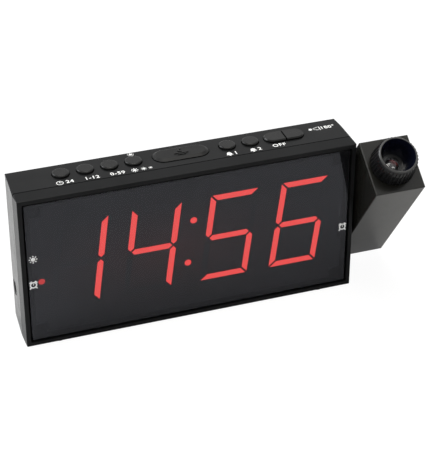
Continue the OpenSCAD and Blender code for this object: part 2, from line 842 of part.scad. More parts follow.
// Flat lead that lies on the back of the display board and bends under the key board
module board_ribbon() {
    bend_mid = [board_back + ribbon_bend, key_board_base - ribbon_bend];
    color("#d8d4c8")
        along_x(-ribbon_half, ribbon_half) {
            translate([board_back, bend_mid.y - ribbon_lap]) square([ribbon_t, ribbon_lap]);
            intersection() {
                difference() {
                    translate(bend_mid) circle(ribbon_bend);
                    translate(bend_mid) circle(ribbon_bend - ribbon_t);
                }
                translate([board_back, bend_mid.y]) square([ribbon_bend, ribbon_bend]);
            }
            translate([bend_mid.x, key_board_base - ribbon_t]) square([ribbon_lap / 2, ribbon_t]);
        }
}

module buzzer() {
    color("#18181a")
        difference() {
            rod_y(buzzer_x, buzzer_z, buzzer_d / 2, rear_in - buzzer_h, rear_in);
            rod_y(buzzer_x, buzzer_z, 1, rear_in - 1, rear_in + bite);
        }
}

module dc_jack() {
    z = base_z + socket_z;
    color("#161616")
        difference() {
            union() {
                box([jack_x, socket_y - jack_w / 2, z - jack_h / 2],
                    [jack_x + jack_l, socket_y + jack_w / 2, z + jack_h / 2]);
                rod_x(socket_y, z, nose_d / 2, nose_x, jack_x + 0.1);
            }
            rod_x(socket_y, z, socket_d / 2, nose_x - bite, nose_x + socket_deep);
        }
    color("silver") rod_x(socket_y, z, socket_pin_d / 2, nose_x + 1, nose_x + socket_deep);
}

module coin_cell() {
    color("silver") rod_y(-door_x, base_z + door_z, cell_d / 2, cell_y, cell_y + cell_t);
}

module battery_contacts() {
    z = base_z + door_z;
    color("#c8b070") {
        // leaf under the cell
        box([-door_x - 6, cup_floor, z - 2], [-door_x - 2, cup_floor + 0.3, z + 2]);
        rod_y(-door_x - 4, z, 1, cup_floor + 0.3, cell_y);
        // leaf that touches the cell's rim
        box([-door_x + 2, cup_floor, z - 2], [-door_x + 6, cup_floor + 0.3, z + 2]);
        rod_y(-door_x + 4, z, 1, cup_floor + 0.3, cell_y);
    }
}

module inner_wires() {
    wire_r = 0.5;
    jack_end = socket_y - jack_w / 2;
    color("#8c2420")
        for (s = [-1, 1]) {
            rod_y(-door_x + 4 * s, base_z + door_z, wire_r, board_back, cup_floor);
            rod_y(buzzer_x + 2.5 * s, buzzer_z, wire_r, board_back, rear_in - buzzer_h);
            rod_y(jack_x + jack_l - 2, base_z + socket_z + 3 * s, wire_r, board_back, jack_end);
        }
}

// Pan-head screw with its head seated at z = 0 and its shank along -Z
module screw(length, shank_r, top_r, top_h) {
    difference() {
        union() {
            cylinder(r = top_r, h = top_h);
            translate([0, 0, -length]) cylinder(r = shank_r, h = length + 0.1);
        }
        for (a = [0, 90])
            rotate([0, 0, a])
                translate([-top_r * 0.55, -0.3, top_h - 0.9]) cube([top_r * 1.1, 0.6, 0.9 + bite]);
    }
}

case_screw_l = back_y - head_sunk - board_y + screw_bite;

module case_screws() {
    color("silver")
        at_corners(post_half)
            translate([0, back_y - head_sunk, 0]) rotate([-90, 0, 0])
                screw(case_screw_l, screw_r, head_r, head_h);
}

module board_screws() {
    color("silver")
        for (s = [-1, 1])
            translate([key_row_x + s * key_screw_out, key_screw_y, key_board_base]) rotate([180, 0, 0])
                screw(board_t + screw_bite, screw_r, head_r, head_h);
}

module feet() {
    color("#1b1b1b") {
        at_feet(front_foot_y) cylinder(d = foot_d, h = base_z + foot_sunk);
        at_feet(rear_foot_y) cylinder(d = foot_d, h = rear_foot_top);
    }
}

module pivot_bush() {
    inner = shaft_r + run_gap;
    outer = inner + bush_wall;
    color("#1c1c1e")
        translate([0, 0, base_z + pivot_z]) rotate([0, 90, 0])
            rotate_extrude()
                polygon([
                    [inner, hub_in], [outer, hub_in], [outer, hub_x], [outer + bush_flange_w, hub_x],
                    [outer + bush_flange_w, hub_x + bush_flange_t], [inner, hub_x + bush_flange_t]
                ]);
}

plug_half = [4, 4];
plug_l = 7;
plug_away = 7;      // from the plug to the end of the pivot shaft
plug_x = shaft_end - plug_away - plug_l;

// Plug on the display board and the lead from it into the pivot
module projector_lead() {
    z = base_z + pivot_z;
    color("#e4e0d4")
        box([plug_x, board_back, z - plug_half.y], [plug_x + plug_l, plug_half.x / 2, z + plug_half.y]);
    color("#202022") rod_x(0, z, lead_r, plug_x + plug_l, arm_x);
}

coin_slot = 7;      // half the length of the slot for a coin

module battery_door() {
    z = base_z + door_z;
    color("#2b2b2a")
        difference() {
            union() {
                rod_y(-door_x, z, door_r - fit, rear_in, back_y);
                rod_y(-door_x, z, cell_d / 2 - 2, cell_y + cell_t + seat, rear_in + 0.1);
                translate([-door_x, 0, z]) tab_bar(0, rear_in - 0.1);
            }
            box([-door_x - coin_slot, back_y - 0.9, z - 1], [-door_x + coin_slot, back_y + bite, z + 1]);
        }
}

// A key's flange and post below the top of the case
module key_stem(x) {
    translate([x, row_y, post_base]) cylinder(d = plunger_d, h = flange_base - post_base + 0.1);
}

cap_top = top_at(row_y) + key_proud;

module round_key(x) {
    soft = 0.7;
    color("#242423") {
        translate([x, row_y, 0])
            rotate_extrude() {
                translate([0, flange_base]) square([hole_r + flange_reach, flange_t]);
                translate([0, flange_base]) square([key_r, cap_top - soft - flange_base]);
                translate([0, flange_base]) square([key_r - soft, cap_top - flange_base]);
                intersection() {
                    translate([key_r - soft, cap_top - soft]) circle(soft);
                    translate([0, flange_base]) square([key_r, cap_top - flange_base]);
                }
            }
        key_stem(x);
    }
}

// A bar with round ends whose border slopes inwards over its last height
module sloped_pill(length, width, slope, z0, z1, rise) {
    r = width / 2;
    translate([0, 0, z0]) linear_extrude(z1 - rise - z0) pill(length, width);
    for (s = [-1, 1])
        translate([s * (length / 2 - r), 0, z1 - rise]) cylinder(r1 = r, r2 = r - slope, h = rise);
    along_x(r - length / 2, length / 2 - r)
        polygon([[-r, z1 - rise], [r, z1 - rise], [r - slope, z1], [slope - r, z1]]);
}

module key_snooze() {
    color("#242423") {
        translate([key_row_x, row_y, 0]) {
            sloped_pill(snooze_l, snooze_w, snooze_slope, flange_base, cap_top, 0.8);
            translate([0, 0, flange_base])
                linear_extrude(flange_t) pill(snooze_l + flange_grow, snooze_w + flange_grow);
        }
        key_stem(key_row_x);
    }
}

// One half of the split key: side -1 is the left half, side 1 the right half
module half_key(side) {
    low = side < 0 ? -pair_l : pair_slit / 2;
    high = side < 0 ? -pair_slit / 2 : pair_l;
    color("#242423") {
        intersection() {
            translate([pair_mid, row_y, 0]) {
                sloped_pill(pair_l, pair_w, 0.5, flange_base, cap_top, 0.5);
                translate([0, 0, flange_base])
                    linear_extrude(flange_t) pill(pair_l + flange_grow, pair_w + flange_grow);
            }
            box([pair_mid + low, row_y - pair_w, flange_base - bite],
                [pair_mid + high, row_y + pair_w, cap_top + bite]);
        }
        key_stem(pair_mid + side * half_key_x);
    }
}

// Places the arm's own frame: pivot at the origin, lens end along +Z
module at_arm() {
    translate([0, 0, base_z + pivot_z]) rotate([arm_lean, 0, 0]) children();
}

module arm_block(inset) {
    r = max(arm_edge_r - inset, 0.2);
    wide = arm_w / 2 - inset;
    deep = arm_d / 2 - inset;
    tall = (arm_up + arm_down) / 2 - inset;
    middle = (arm_up - arm_down) / 2;
    translate([arm_mid, 0, middle])
        intersection() {
            translate([0, 0, -tall]) linear_extrude(2 * tall) rounded_rect([wide, deep], r);
            along_x(-wide, wide) rounded_rect([deep, tall], r);
            along_y(-deep, deep) rounded_rect([wide, tall], r);
        }
}

arm_screw_spots = [[arm_mid, -arm_down + arm_wall + 3.8], [arm_x + arm_w - arm_wall - 3, 20]];
arm_inner_d = arm_d / 2 - arm_wall;
arm_head_sunk = 8;
lamp_board_half = 10;
shelf_w = 3;

// Half of the arm's clamshell: side -1 is the front half, side 1 the rear half
module arm_half(side) {
    low = side < 0 ? -arm_d : 0;
    high = side < 0 ? 0 : arm_d;
    color("#333331")
        difference() {
            intersection() {
                difference() {
                    arm_block(0);
                    difference() {
                        arm_block(arm_wall);
                        arm_inside(side);
                    }
                    difference() {
                        box([arm_x - bite, -arm_seam_w / 2, -arm_down - bite],
                            [arm_x + arm_w + bite, arm_seam_w / 2, arm_up + bite]);
                        arm_block(arm_seam_deep);
                    }
                }
                box([arm_x - bite, low, -arm_down - bite], [arm_x + arm_w + bite, high, arm_up + bite]);
            }
            translate([arm_mid, 0, arm_up - arm_wall - bite])
                cylinder(r = neck_r + run_gap, h = arm_wall + 2 * bite);
            rod_x(0, 0, shaft_r + run_gap, arm_x - bite, arm_x + arm_wall + bite);
            translate([arm_mid, 0, guide_z - bite]) {
                cylinder(r = barrel_r + run_gap, h = guide_t + 2 * bite);
                box([0, -lug_half - seat, 0],
                    [barrel_r + lug_reach + fit, lug_half + seat, guide_t + 2 * bite]);
            }
            for (p = arm_screw_spots) {
                if (side > 0) {
                    rod_y(p[0], p[1], screw_hole_r, -bite, arm_d / 2);
                    rod_y(p[0], p[1], head_r + fit, arm_d / 2 - arm_head_sunk, arm_d / 2 + bite);
                } else {
                    rod_y(p[0], p[1], screw_hole_r, -6, bite);
                }
            }
        }
}

// Bosses, ribs, shelves and the guide plate on the inside of an arm half
module arm_inside(side) {
    for (p = arm_screw_spots) rod_y(p[0], p[1], 2.9, -arm_d / 2, arm_d / 2);
    box([arm_x, -arm_d / 2, guide_z], [arm_x + arm_w, arm_d / 2, guide_z + guide_t]);
    for (s = [-1, 1]) {
        y0 = side < 0 ? -arm_d / 2 : tube_side / 2;
        y1 = side < 0 ? -tube_side / 2 : arm_d / 2;
        x = arm_mid + s * (tube_side / 2 - 0.8);
        box([x - 0.8, y0, tube_base + 2], [x + 0.8, y1, tube_top - 3]);
    }
    shelf_y = side < 0 ? -arm_d / 2 : arm_inner_d - shelf_w;
    box([arm_x + arm_wall + 2, shelf_y, lamp_z - board_t - 1.6],
        [arm_x + arm_w, shelf_y + arm_wall + shelf_w, lamp_z - board_t]);
}

module arm_screws() {
    color("silver")
        at_arm()
            for (p = arm_screw_spots)
                translate([p[0], arm_d / 2 - arm_head_sunk, p[1]]) rotate([-90, 0, 0])
                    screw(arm_d / 2 - arm_head_sunk + 5, screw_r, head_r, head_h);
}

module pivot_shaft() {
    color("#3a3a38")
        at_arm()
            difference() {
                union() {
                    rod_x(0, 0, shaft_r, shaft_end, shaft_flange_x + 0.1);
                    intersection() {
                        rod_x(0, 0, shaft_flange_r, shaft_flange_x, shaft_stop);
                        box([shaft_flange_x, -shaft_flange_r, -shaft_r - 1],
                            [shaft_stop, shaft_flange_r, shaft_r + 1]);
                    }
                }
                rod_x(0, 0, shaft_bore / 2, shaft_end - bite, shaft_stop + bite);
                difference() {
                    rod_x(0, 0, shaft_r + bite, clip_x - run_gap, clip_x + clip_t + run_gap);
                    rod_x(0, 0, clip_r, clip_x - bite, clip_x + clip_t + bite);
                }
            }
}

module pivot_spring() {
    outer = hub_r - 0.6;
    color("silver")
        at_arm()
            rotate([0, 90, 0])
                rotate_extrude()
                    polygon([
                        [shaft_r + 0.15, spring_x], [outer, spring_x + spring_h - spring_t],
                        [outer, spring_x + spring_h], [shaft_r + 0.15, spring_x + spring_t]
                    ]);
}

module pivot_clip() {
    color("silver")
        at_arm()
            difference() {
                rod_x(0, 0, shaft_r + 2, clip_x, clip_x + clip_t);
                rod_x(0, 0, clip_r + run_gap, clip_x - bite, clip_x + clip_t + bite);
                box([clip_x - bite, -2.6, -shaft_r - 3], [clip_x + clip_t + bite, 2.6, 0]);
            }
}

module led_board() {
    color("#2f5a34")
        at_arm()
            box([arm_x + arm_wall + 1, -lamp_board_half, lamp_z - board_t],
                [arm_x + arm_w - arm_wall - 1, lamp_board_half, lamp_z]);
}

module projector_led() {
    r = lamp_d / 2;
    color("#f2f2ee")
        at_arm()
            translate([arm_mid, 0, lamp_z])
                rotate_extrude() {
                    square([r + 0.4, 1]);
                    square([r, lamp_h - r]);
                    intersection() {
                        translate([0, lamp_h - r]) circle(r);
                        square([r, lamp_h]);
                    }
                }
}

// A plano-convex slice: flat face at z = 0, edge of height edge_t, crown above it
module lens_profile(r, edge_t, crown) {
    ball = (r * r + crown * crown) / (2 * crown);
    square([r, edge_t]);
    intersection() {
        translate([0, edge_t + crown - ball]) circle(ball, $fn = 180);
        translate([0, edge_t]) square([r, crown]);
    }
}

module condenser_lens() {
    color("#e8f0f4", 0.6)
        at_arm()
            translate([arm_mid, 0, tube_base])
                rotate_extrude() lens_profile(condenser_d / 2, condenser_t - 1.4, 1.4);
}

module optics_tube() {
    half = tube_side / 2;
    color("#161616")
        at_arm()
            translate([arm_mid, 0, 0])
                difference() {
                    box([-half, -half, tube_base], [half, half, tube_top]);
                    translate([0, 0, tube_base - bite]) cylinder(d = tube_bore, h = tube_l + 2 * bite);
                    translate([0, 0, tube_base - bite])
                        cylinder(d = condenser_d + 2 * seat, h = condenser_t + seat + bite);
                    box([-lcd_side / 2 - seat, -lcd_side / 2 - seat, tube_top - lcd_t],
                        [lcd_side / 2 + seat, half + bite, tube_top + bite]);
                }
}

lcd_reach = 8.6;
lcd_ribbon_half = 4;

module lcd_panel() {
    color("#9fb0b8")
        at_arm()
            box([arm_mid - lcd_side / 2, -lcd_side / 2, tube_top - lcd_t],
                [arm_mid + lcd_side / 2, lcd_reach, tube_top]);
}

module lcd_ribbon() {
    color("#c98a3a")
        at_arm()
            box([arm_mid - lcd_ribbon_half, lcd_reach - ribbon_t, lamp_z],
                [arm_mid + lcd_ribbon_half, lcd_reach, tube_top - lcd_t]);
}

// Lead from the pivot's bore down to the lamp's board
module arm_lead() {
    bend_x = lead_x - lead_bend;
    color("#202022")
        at_arm() {
            rod_x(0, 0, lead_r, arm_x, bend_x);
            intersection() {
                translate([bend_x, 0, -lead_bend]) rotate([90, 0, 0])
                    rotate_extrude() translate([lead_bend, 0]) circle(lead_r);
                box([bend_x, -lead_bend, -lead_bend], [lead_x + lead_d, lead_bend, lead_bend]);
            }
            translate([lead_x, 0, lamp_z]) cylinder(r = lead_r, h = -lead_bend - lamp_z);
        }
}

module focus_ring() {
    bore_r = barrel_r + run_gap;
    rim_r = ring_rim_d / 2;
    neck_z = -arm_wall - fit;
    neck_base = neck_z - neck_lip_t;
    color("#1c1c1e")
        at_arm()
            translate([arm_mid, 0, arm_up]) {
                rotate_extrude()
                    polygon([
                        [bore_r, neck_base], [neck_lip_r, neck_base], [neck_lip_r, neck_z],
                        [neck_r, neck_z], [neck_r, ring_foot], [ring_foot_r, ring_foot],
                        [ring_top_r, ring_shoulder], [rim_r, ring_h], [rim_r - rim_t, ring_h],
                        [bore_r, ring_h - funnel_deep]
                    ]);
                for (i = [0:rib_n - 1]) rotate([0, 0, i * 360 / rib_n]) grip_rib();
            }
}

// One rib of the focus ring, leaning with the ring's side
module grip_rib() {
    translate([ring_foot_r, 0, ring_foot])
        rotate([0, -rib_lean, 0])
            linear_extrude((ring_shoulder - ring_foot) / cos(rib_lean))
                polygon([
                    [-0.5, -rib_w / 2], [0, -rib_w / 2], [rib_h, -rib_w / 6], [rib_h, rib_w / 6],
                    [0, rib_w / 2], [-0.5, rib_w / 2]
                ]);
}

module lens_barrel() {
    color("#111112")
        at_arm()
            translate([arm_mid, 0, 0]) {
                rotate_extrude()
                    polygon([
                        [barrel_in, barrel_top - barrel_l], [barrel_r, barrel_top - barrel_l],
                        [barrel_r, barrel_top], [barrel_in - 0.6, barrel_top],
                        [barrel_in - 0.6, barrel_top - 0.6], [barrel_in, barrel_top - 0.6]
                    ]);
                box([barrel_r - 0.3, -lug_half, guide_z - lens_travel - fit],
                    [barrel_r + lug_reach, lug_half, guide_z + guide_t + lens_travel + fit]);
            }
}

module projection_lens() {
    r = barrel_in - run_gap;
    color("#dfe6f2", 0.5)
        at_arm()
            translate([arm_mid, 0, lens_seat - lens_edge_t]) {
                rotate_extrude() lens_profile(r, lens_edge_t, lens_crown);
                mirror([0, 0, 1]) rotate_extrude() lens_profile(r, 0.01, lens_crown);
            }
}

module lens_retainer() {
    bore = barrel_in - 0.9;
    top = lens_seat - lens_edge_t - lens_crown * (1 - pow(bore / barrel_in, 2)) - seat;
    color("#111112")
        at_arm()
            translate([arm_mid, 0, top - 1.6])
                difference() {
                    cylinder(r = barrel_in - run_gap, h = 1.6);
                    translate([0, 0, -bite]) cylinder(r = bore, h = 1.6 + 2 * bite);
                }
}

centred() front_frame();
centred() display_window();
centred() segment_mask();
centred() digit(0);  // digit_1
centred() digit(1);  // digit_2
centred() digit(2);  // digit_3
centred() digit(3);  // digit_4
centred() colon_dots();
centred() indicator_dots();
centred() display_leds();
centred() display_board();
centred() clock_chip();
centred() rear_shell();
centred() key_board();
centred() tact_switches();
centred() board_ribbon();
centred() buzzer();
centred() dc_jack();
centred() coin_cell();
centred() battery_contacts();
centred() inner_wires();
centred() case_screws();
centred() board_screws();
centred() feet();
centred() pivot_bush();
centred() projector_lead();
centred() battery_door();
centred() round_key(left_keys[0]);  // key_time
centred() round_key(left_keys[1]);  // key_hour
centred() round_key(left_keys[2]);  // key_minute
centred() round_key(left_keys[3]);  // key_dimmer
centred() key_snooze();
centred() round_key(right_keys[0]);  // key_alarm_1
centred() round_key(right_keys[1]);  // key_alarm_2
centred() half_key(-1);  // key_off
centred() half_key(1);  // key_projection
centred() at_arm() arm_half(-1);  // arm_front_half
centred() at_arm() arm_half(1);  // arm_rear_half
centred() arm_screws();
centred() pivot_shaft();
centred() pivot_spring();
centred() pivot_clip();
centred() led_board();
centred() projector_led();
centred() condenser_lens();
centred() optics_tube();
centred() lcd_panel();
centred() lcd_ribbon();
centred() arm_lead();
centred() focus_ring();
centred() lens_barrel();
centred() projection_lens();
centred() lens_retainer();
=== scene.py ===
import json
import math

import bmesh
import bpy
from mathutils import Matrix, Vector


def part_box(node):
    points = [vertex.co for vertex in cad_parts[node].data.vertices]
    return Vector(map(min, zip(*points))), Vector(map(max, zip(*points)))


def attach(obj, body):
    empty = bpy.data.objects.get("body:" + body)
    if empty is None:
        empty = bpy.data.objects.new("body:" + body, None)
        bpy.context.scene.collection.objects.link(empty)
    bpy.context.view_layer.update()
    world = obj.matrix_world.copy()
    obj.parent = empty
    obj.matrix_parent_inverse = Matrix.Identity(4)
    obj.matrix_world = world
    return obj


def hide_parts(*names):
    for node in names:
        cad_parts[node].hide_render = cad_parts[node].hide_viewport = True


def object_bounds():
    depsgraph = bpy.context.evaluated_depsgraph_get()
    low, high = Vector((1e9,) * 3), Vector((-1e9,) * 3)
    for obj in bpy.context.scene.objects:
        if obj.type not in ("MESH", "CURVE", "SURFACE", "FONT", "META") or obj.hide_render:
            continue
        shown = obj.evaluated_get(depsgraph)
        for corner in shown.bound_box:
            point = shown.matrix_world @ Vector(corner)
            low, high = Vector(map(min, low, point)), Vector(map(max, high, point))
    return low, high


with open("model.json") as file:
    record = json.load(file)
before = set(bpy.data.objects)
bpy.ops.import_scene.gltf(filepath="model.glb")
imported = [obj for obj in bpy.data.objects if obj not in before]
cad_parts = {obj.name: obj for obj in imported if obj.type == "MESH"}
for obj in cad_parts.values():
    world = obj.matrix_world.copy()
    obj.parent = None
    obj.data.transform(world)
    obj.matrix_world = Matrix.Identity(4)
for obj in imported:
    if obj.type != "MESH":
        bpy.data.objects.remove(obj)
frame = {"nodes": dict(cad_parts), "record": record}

cad_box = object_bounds()

# ---- Case halves ----
# Front frame and rear shell, injection-moulded in black ABS. The frame's tongue pushes into the
# shell, and four screws pull them together. Both have a fine spark-eroded grain.


def new_finish(name, colour, roughness, specular=0.5, metallic=0.0):
    finish = bpy.data.materials.new(name)
    finish.use_nodes = True
    skin = finish.node_tree.nodes["Principled BSDF"]
    skin.inputs["Base Color"].default_value = (*colour, 1)
    skin.inputs["Roughness"].default_value = roughness
    skin.inputs["Specular IOR Level"].default_value = specular
    skin.inputs["Metallic"].default_value = metallic
    return finish, finish.node_tree, skin


def cloud_over(tree, spot_mm, detail=2.0):
    """Soft random spots of about that size, fixed to the piece."""
    place = tree.nodes.new("ShaderNodeTexCoord")
    cloud = tree.nodes.new("ShaderNodeTexNoise")
    cloud.inputs["Scale"].default_value = 1000 / spot_mm
    cloud.inputs["Detail"].default_value = detail
    tree.links.new(place.outputs["Object"], cloud.inputs["Vector"])
    return cloud.outputs["Fac"]


def shade_between(tree, skin, spots, dark, light):
    blend = tree.nodes.new("ShaderNodeValToRGB")
    blend.color_ramp.elements[0].position = 0.35
    blend.color_ramp.elements[1].position = 0.65
    blend.color_ramp.elements[0].color = (*dark, 1)
    blend.color_ramp.elements[1].color = (*light, 1)
    tree.links.new(spots, blend.inputs["Fac"])
    tree.links.new(blend.outputs["Color"], skin.inputs["Base Color"])


def gloss_between(tree, skin, spots, low, high):
    spread = tree.nodes.new("ShaderNodeMapRange")
    spread.inputs["From Min"].default_value = 0.3
    spread.inputs["From Max"].default_value = 0.7
    spread.inputs["To Min"].default_value = low
    spread.inputs["To Max"].default_value = high
    tree.links.new(spots, spread.inputs["Value"])
    tree.links.new(spread.outputs["Result"], skin.inputs["Roughness"])


def raise_grain(tree, skin, spots, depth_mm):
    bump = tree.nodes.new("ShaderNodeBump")
    bump.inputs["Distance"].default_value = depth_mm / 1000
    bump.inputs["Strength"].default_value = 0.6
    tree.links.new(spots, bump.inputs["Height"])
    tree.links.new(bump.outputs["Normal"], skin.inputs["Normal"])


def dress(finish, *names):
    """Gives a finish to pieces of the frame that keep their shape."""
    for name in names:
        piece = frame["nodes"][name]
        if not piece.material_slots:
            piece.data.materials.append(finish)
        for place in piece.material_slots:
            place.material = finish


case_plastic, tree, skin = new_finish("case_plastic", (0.012, 0.012, 0.0115), 0.2, specular=0.07)
shade_between(tree, skin, cloud_over(tree, 18), (0.0095, 0.0098, 0.0102), (0.0122, 0.0125, 0.0130))
gloss_between(tree, skin, cloud_over(tree, 6), 0.17, 0.23)
raise_grain(tree, skin, cloud_over(tree, 0.28, 3), 0.0012)
dress(case_plastic, "front_frame", "rear_shell")

# ---- Segment mask and display board ----
# Black reflector plate with a well for each bar and dot, laid on the display board. Stray red light
# is painted on it as a glow. The board is green glass-fibre laminate with chips and a controller
# soldered on.

# The case's middle is beside the frame's origin, straight under the point that the record gives for
# the arm's pivot. Places on the case are counted from there.
joints = frame["record"]["behaviour"]["joints"]
pivot = Vector(next(joint["pos_m"] for joint in joints if joint["name"] == "arm_tilt"))
case_middle = Matrix.Translation((pivot.x, pivot.y, 0))
# Painted glow: the mask emits red, strongest at this middle and fading over this reach, standing in
# for the bars' stray light.
painted_glow_middle, painted_glow_reach, painted_glow_most = (-0.01, -0.011, 0.039), (0.085, 0.085, 0.036), 0.12

mask_plastic, tree, skin = new_finish("mask_plastic", (0.004, 0.004, 0.0042), 0.6, specular=0.2)
place = tree.nodes.new("ShaderNodeTexCoord")
painted_glow_area = tree.nodes.new("ShaderNodeMapping")
painted_glow_area.vector_type = "TEXTURE"
painted_glow_area.inputs["Location"].default_value = case_middle @ Vector(painted_glow_middle)
painted_glow_area.inputs["Scale"].default_value = painted_glow_reach
glow = tree.nodes.new("ShaderNodeTexGradient")
glow.gradient_type = "QUADRATIC_SPHERE"
level = tree.nodes.new("ShaderNodeMapRange")
level.inputs["To Max"].default_value = painted_glow_most
tree.links.new(place.outputs["Object"], painted_glow_area.inputs["Vector"])
tree.links.new(painted_glow_area.outputs["Vector"], glow.inputs["Vector"])
tree.links.new(glow.outputs["Fac"], level.inputs["Value"])
tree.links.new(level.outputs["Result"], skin.inputs["Emission Strength"])
skin.inputs["Emission Color"].default_value = (1.0, 0.18, 0.12, 1)
shade_between(tree, skin, cloud_over(tree, 4), (0.0035, 0.0035, 0.0037), (0.005, 0.005, 0.0052))
dress(mask_plastic, "segment_mask")

board_green, tree, skin = new_finish("board_green", (0.02, 0.09, 0.03), 0.35)
place = tree.nodes.new("ShaderNodeTexCoord")
tracks = tree.nodes.new("ShaderNodeTexBrick")
tracks.inputs["Scale"].default_value = 260
tracks.inputs["Color1"].default_value = (0.018, 0.080, 0.026, 1)
tracks.inputs["Color2"].default_value = (0.022, 0.098, 0.032, 1)
tracks.inputs["Mortar"].default_value = (0.035, 0.15, 0.05, 1)
tracks.inputs["Mortar Size"].default_value = 0.03
tree.links.new(place.outputs["Object"], tracks.inputs["Vector"])
tree.links.new(tracks.outputs["Color"], skin.inputs["Base Color"])
dress(board_green, "display_board", "key_board", "led_board")

chip_resin, tree, skin = new_finish("chip_resin", (0.8, 0.76, 0.6), 0.3)
shade_between(tree, skin, cloud_over(tree, 0.6), (0.74, 0.7, 0.52), (0.86, 0.83, 0.68))
dress(chip_resin, "display_leds")

chip_black, tree, skin = new_finish("chip_black", (0.012, 0.012, 0.013), 0.55)
raise_grain(tree, skin, cloud_over(tree, 0.15), 0.01)
dress(chip_black, "clock_chip")

# ---- Digit bars ----
# Seven translucent red bars to a digit, moulded in polystyrene and pressed into the mask's wells.
# Two chips light each bar from behind. The display shows 14:56, and the other bars are dark.

MM = 0.001
digit_height, digit_width, bar_width, bar_gap = 45.7, 20.8, 2.8, 0.9
digit_lean = math.tan(math.radians(7.5))
digit_middles = (-53.8, -18.9, 18.9, 53.8)
display_middle_z = 40.8
mask_front_y, bar_depth = -10.95, 3.6
bar_ease, bar_bevel, core_inset = 0.15, 0.12, 0.75
lit_bars = ((1, 2), (1, 2, 5, 6), (0, 5, 6, 2, 3), (0, 5, 6, 4, 2, 3))

bar_lit, tree, skin = new_finish("bar_lit", (0.45, 0.03, 0.025), 0.4)
core = tree.nodes.new("ShaderNodeAttribute")
core.attribute_name = "core"
hot = tree.nodes.new("ShaderNodeValToRGB")
hot.color_ramp.elements[0].color = (1.0, 0.052, 0.048, 1)
hot.color_ramp.elements[1].color = (1.0, 0.085, 0.072, 1)
tree.links.new(core.outputs["Fac"], hot.inputs["Fac"])
tree.links.new(hot.outputs["Color"], skin.inputs["Emission Color"])
skin.inputs["Emission Strength"].default_value = 6.75

bar_dark, tree, skin = new_finish("bar_dark", (0.006, 0.004, 0.004), 0.5, specular=0.2)
shade_between(tree, skin, cloud_over(tree, 3), (0.005, 0.0035, 0.0035), (0.008, 0.005, 0.005))


def bar_outlines():
    """The seven bars of an upright digit, from the top bar clockwise, then the middle bar."""
    half_bar = bar_width / 2
    cut = bar_gap / math.sqrt(2)
    half = digit_width / 2
    rise = (digit_height - bar_width) / 2
    top = [(-half - half_bar + cut, rise + half_bar), (-half + half_bar + cut, rise - half_bar),
           (half - half_bar - cut, rise - half_bar), (half + half_bar - cut, rise + half_bar)]
    upper_right = [(half, cut), (half + half_bar, cut + half_bar),
                   (half + half_bar, rise + half_bar - cut),
                   (half - half_bar, rise - half_bar - cut), (half - half_bar, cut + half_bar)]
    middle = [(-half + cut, 0), (-half + half_bar + cut, -half_bar),
              (half - half_bar - cut, -half_bar), (half - cut, 0),
              (half - half_bar - cut, half_bar), (-half + half_bar + cut, half_bar)]

    def flipped(outline, across, over):
        return [(x * across, z * over) for x, z in outline]

    return [top, upper_right, flipped(upper_right, 1, -1), flipped(top, 1, -1),
            flipped(upper_right, -1, -1), flipped(upper_right, -1, 1), middle]


def press_in(mesh, outline, lit, front_y, depth):
    """Adds one diffuser: a prism whose front edge is eased and whose middle glows more."""
    centre = Vector((sum(p[0] for p in outline), sum(p[1] for p in outline))) / len(outline)
    mark = mesh.verts.layers.float.get("core") or mesh.verts.layers.float.new("core")
    rings = []
    for inset, y, warmth in ((0.0, front_y + depth, 0), (0.0, front_y + bar_ease, 0),
                             (bar_bevel, front_y, 0.15), (core_inset, front_y, 1)):
        ring = []
        for x, z in outline:
            inward = centre - Vector((x, z))
            step = min(inset, inward.length)
            spot = Vector((x, z)) + inward.normalized() * step
            corner = mesh.verts.new((spot.x * MM, y * MM, spot.y * MM))
            corner[mark] = warmth
            ring.append(corner)
        rings.append(ring)
    n = len(outline)
    faces = [mesh.faces.new(rings[0]), mesh.faces.new(rings[-1])]
    for a, b in zip(rings, rings[1:]):
        faces += [mesh.faces.new((a[i], a[(i + 1) % n], b[(i + 1) % n], b[i])) for i in range(n)]
    for face in faces:
        face.material_index = 0 if lit else 1


def finish_piece(name, mesh_builder, finishes, body, *stands_for):
    """Makes a bmesh a piece that rides on a body, and stands for CAD nodes where they are named."""
    bmesh.ops.recalc_face_normals(mesh_builder, faces=mesh_builder.faces)
    data = bpy.data.meshes.new(name)
    mesh_builder.to_mesh(data)
    mesh_builder.free()
    piece = bpy.data.objects.new(name, data)
    bpy.context.scene.collection.objects.link(piece)
    for finish in finishes:
        data.materials.append(finish)
    if stands_for:
        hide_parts(*stands_for)
    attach(piece, body)
    return piece


for number, (middle_x, shown) in enumerate(zip(digit_middles, lit_bars), 1):
    bars = bmesh.new()
    for index, outline in enumerate(bar_outlines()):
        leaned = [(middle_x + x + z * digit_lean, display_middle_z + z) for x, z in outline]
        press_in(bars, leaned, index in shown, mask_front_y, bar_depth)
    bars.transform(case_middle)
    digit = finish_piece(f"digit_bars_{number}", bars, (bar_lit, bar_dark), "case",
                         f"digit_{number}")

# ---- Colon and indicator dots ----
# Round diffusers of the same red polystyrene, one chip behind each. The colon and the left-hand
# alarm dot are lit, and the alarm dot is the dimmer of them.


def round_outline(x, z, radius, steps=28):
    turns = [2 * math.pi * i / steps for i in range(steps)]
    return [(x + radius * math.cos(a), z + radius * math.sin(a)) for a in turns]


colon_radius, colon_rise = 1.65, 11.4
dots = bmesh.new()
for rise in (-colon_rise, colon_rise):
    outline = round_outline(rise * digit_lean, display_middle_z + rise, colon_radius)
    press_in(dots, outline, True, mask_front_y, bar_depth)
dots.transform(case_middle)
colon = finish_piece("colon_lights", dots, (bar_lit, bar_dark), "case", "colon_dots")

dot_lit, tree, skin = new_finish("dot_lit", (0.45, 0.03, 0.025), 0.4)
shade_between(tree, skin, cloud_over(tree, 1), (0.43, 0.028, 0.023), (0.47, 0.032, 0.027))
skin.inputs["Emission Color"].default_value = (1.0, 0.06, 0.055, 1)
skin.inputs["Emission Strength"].default_value = 4.0

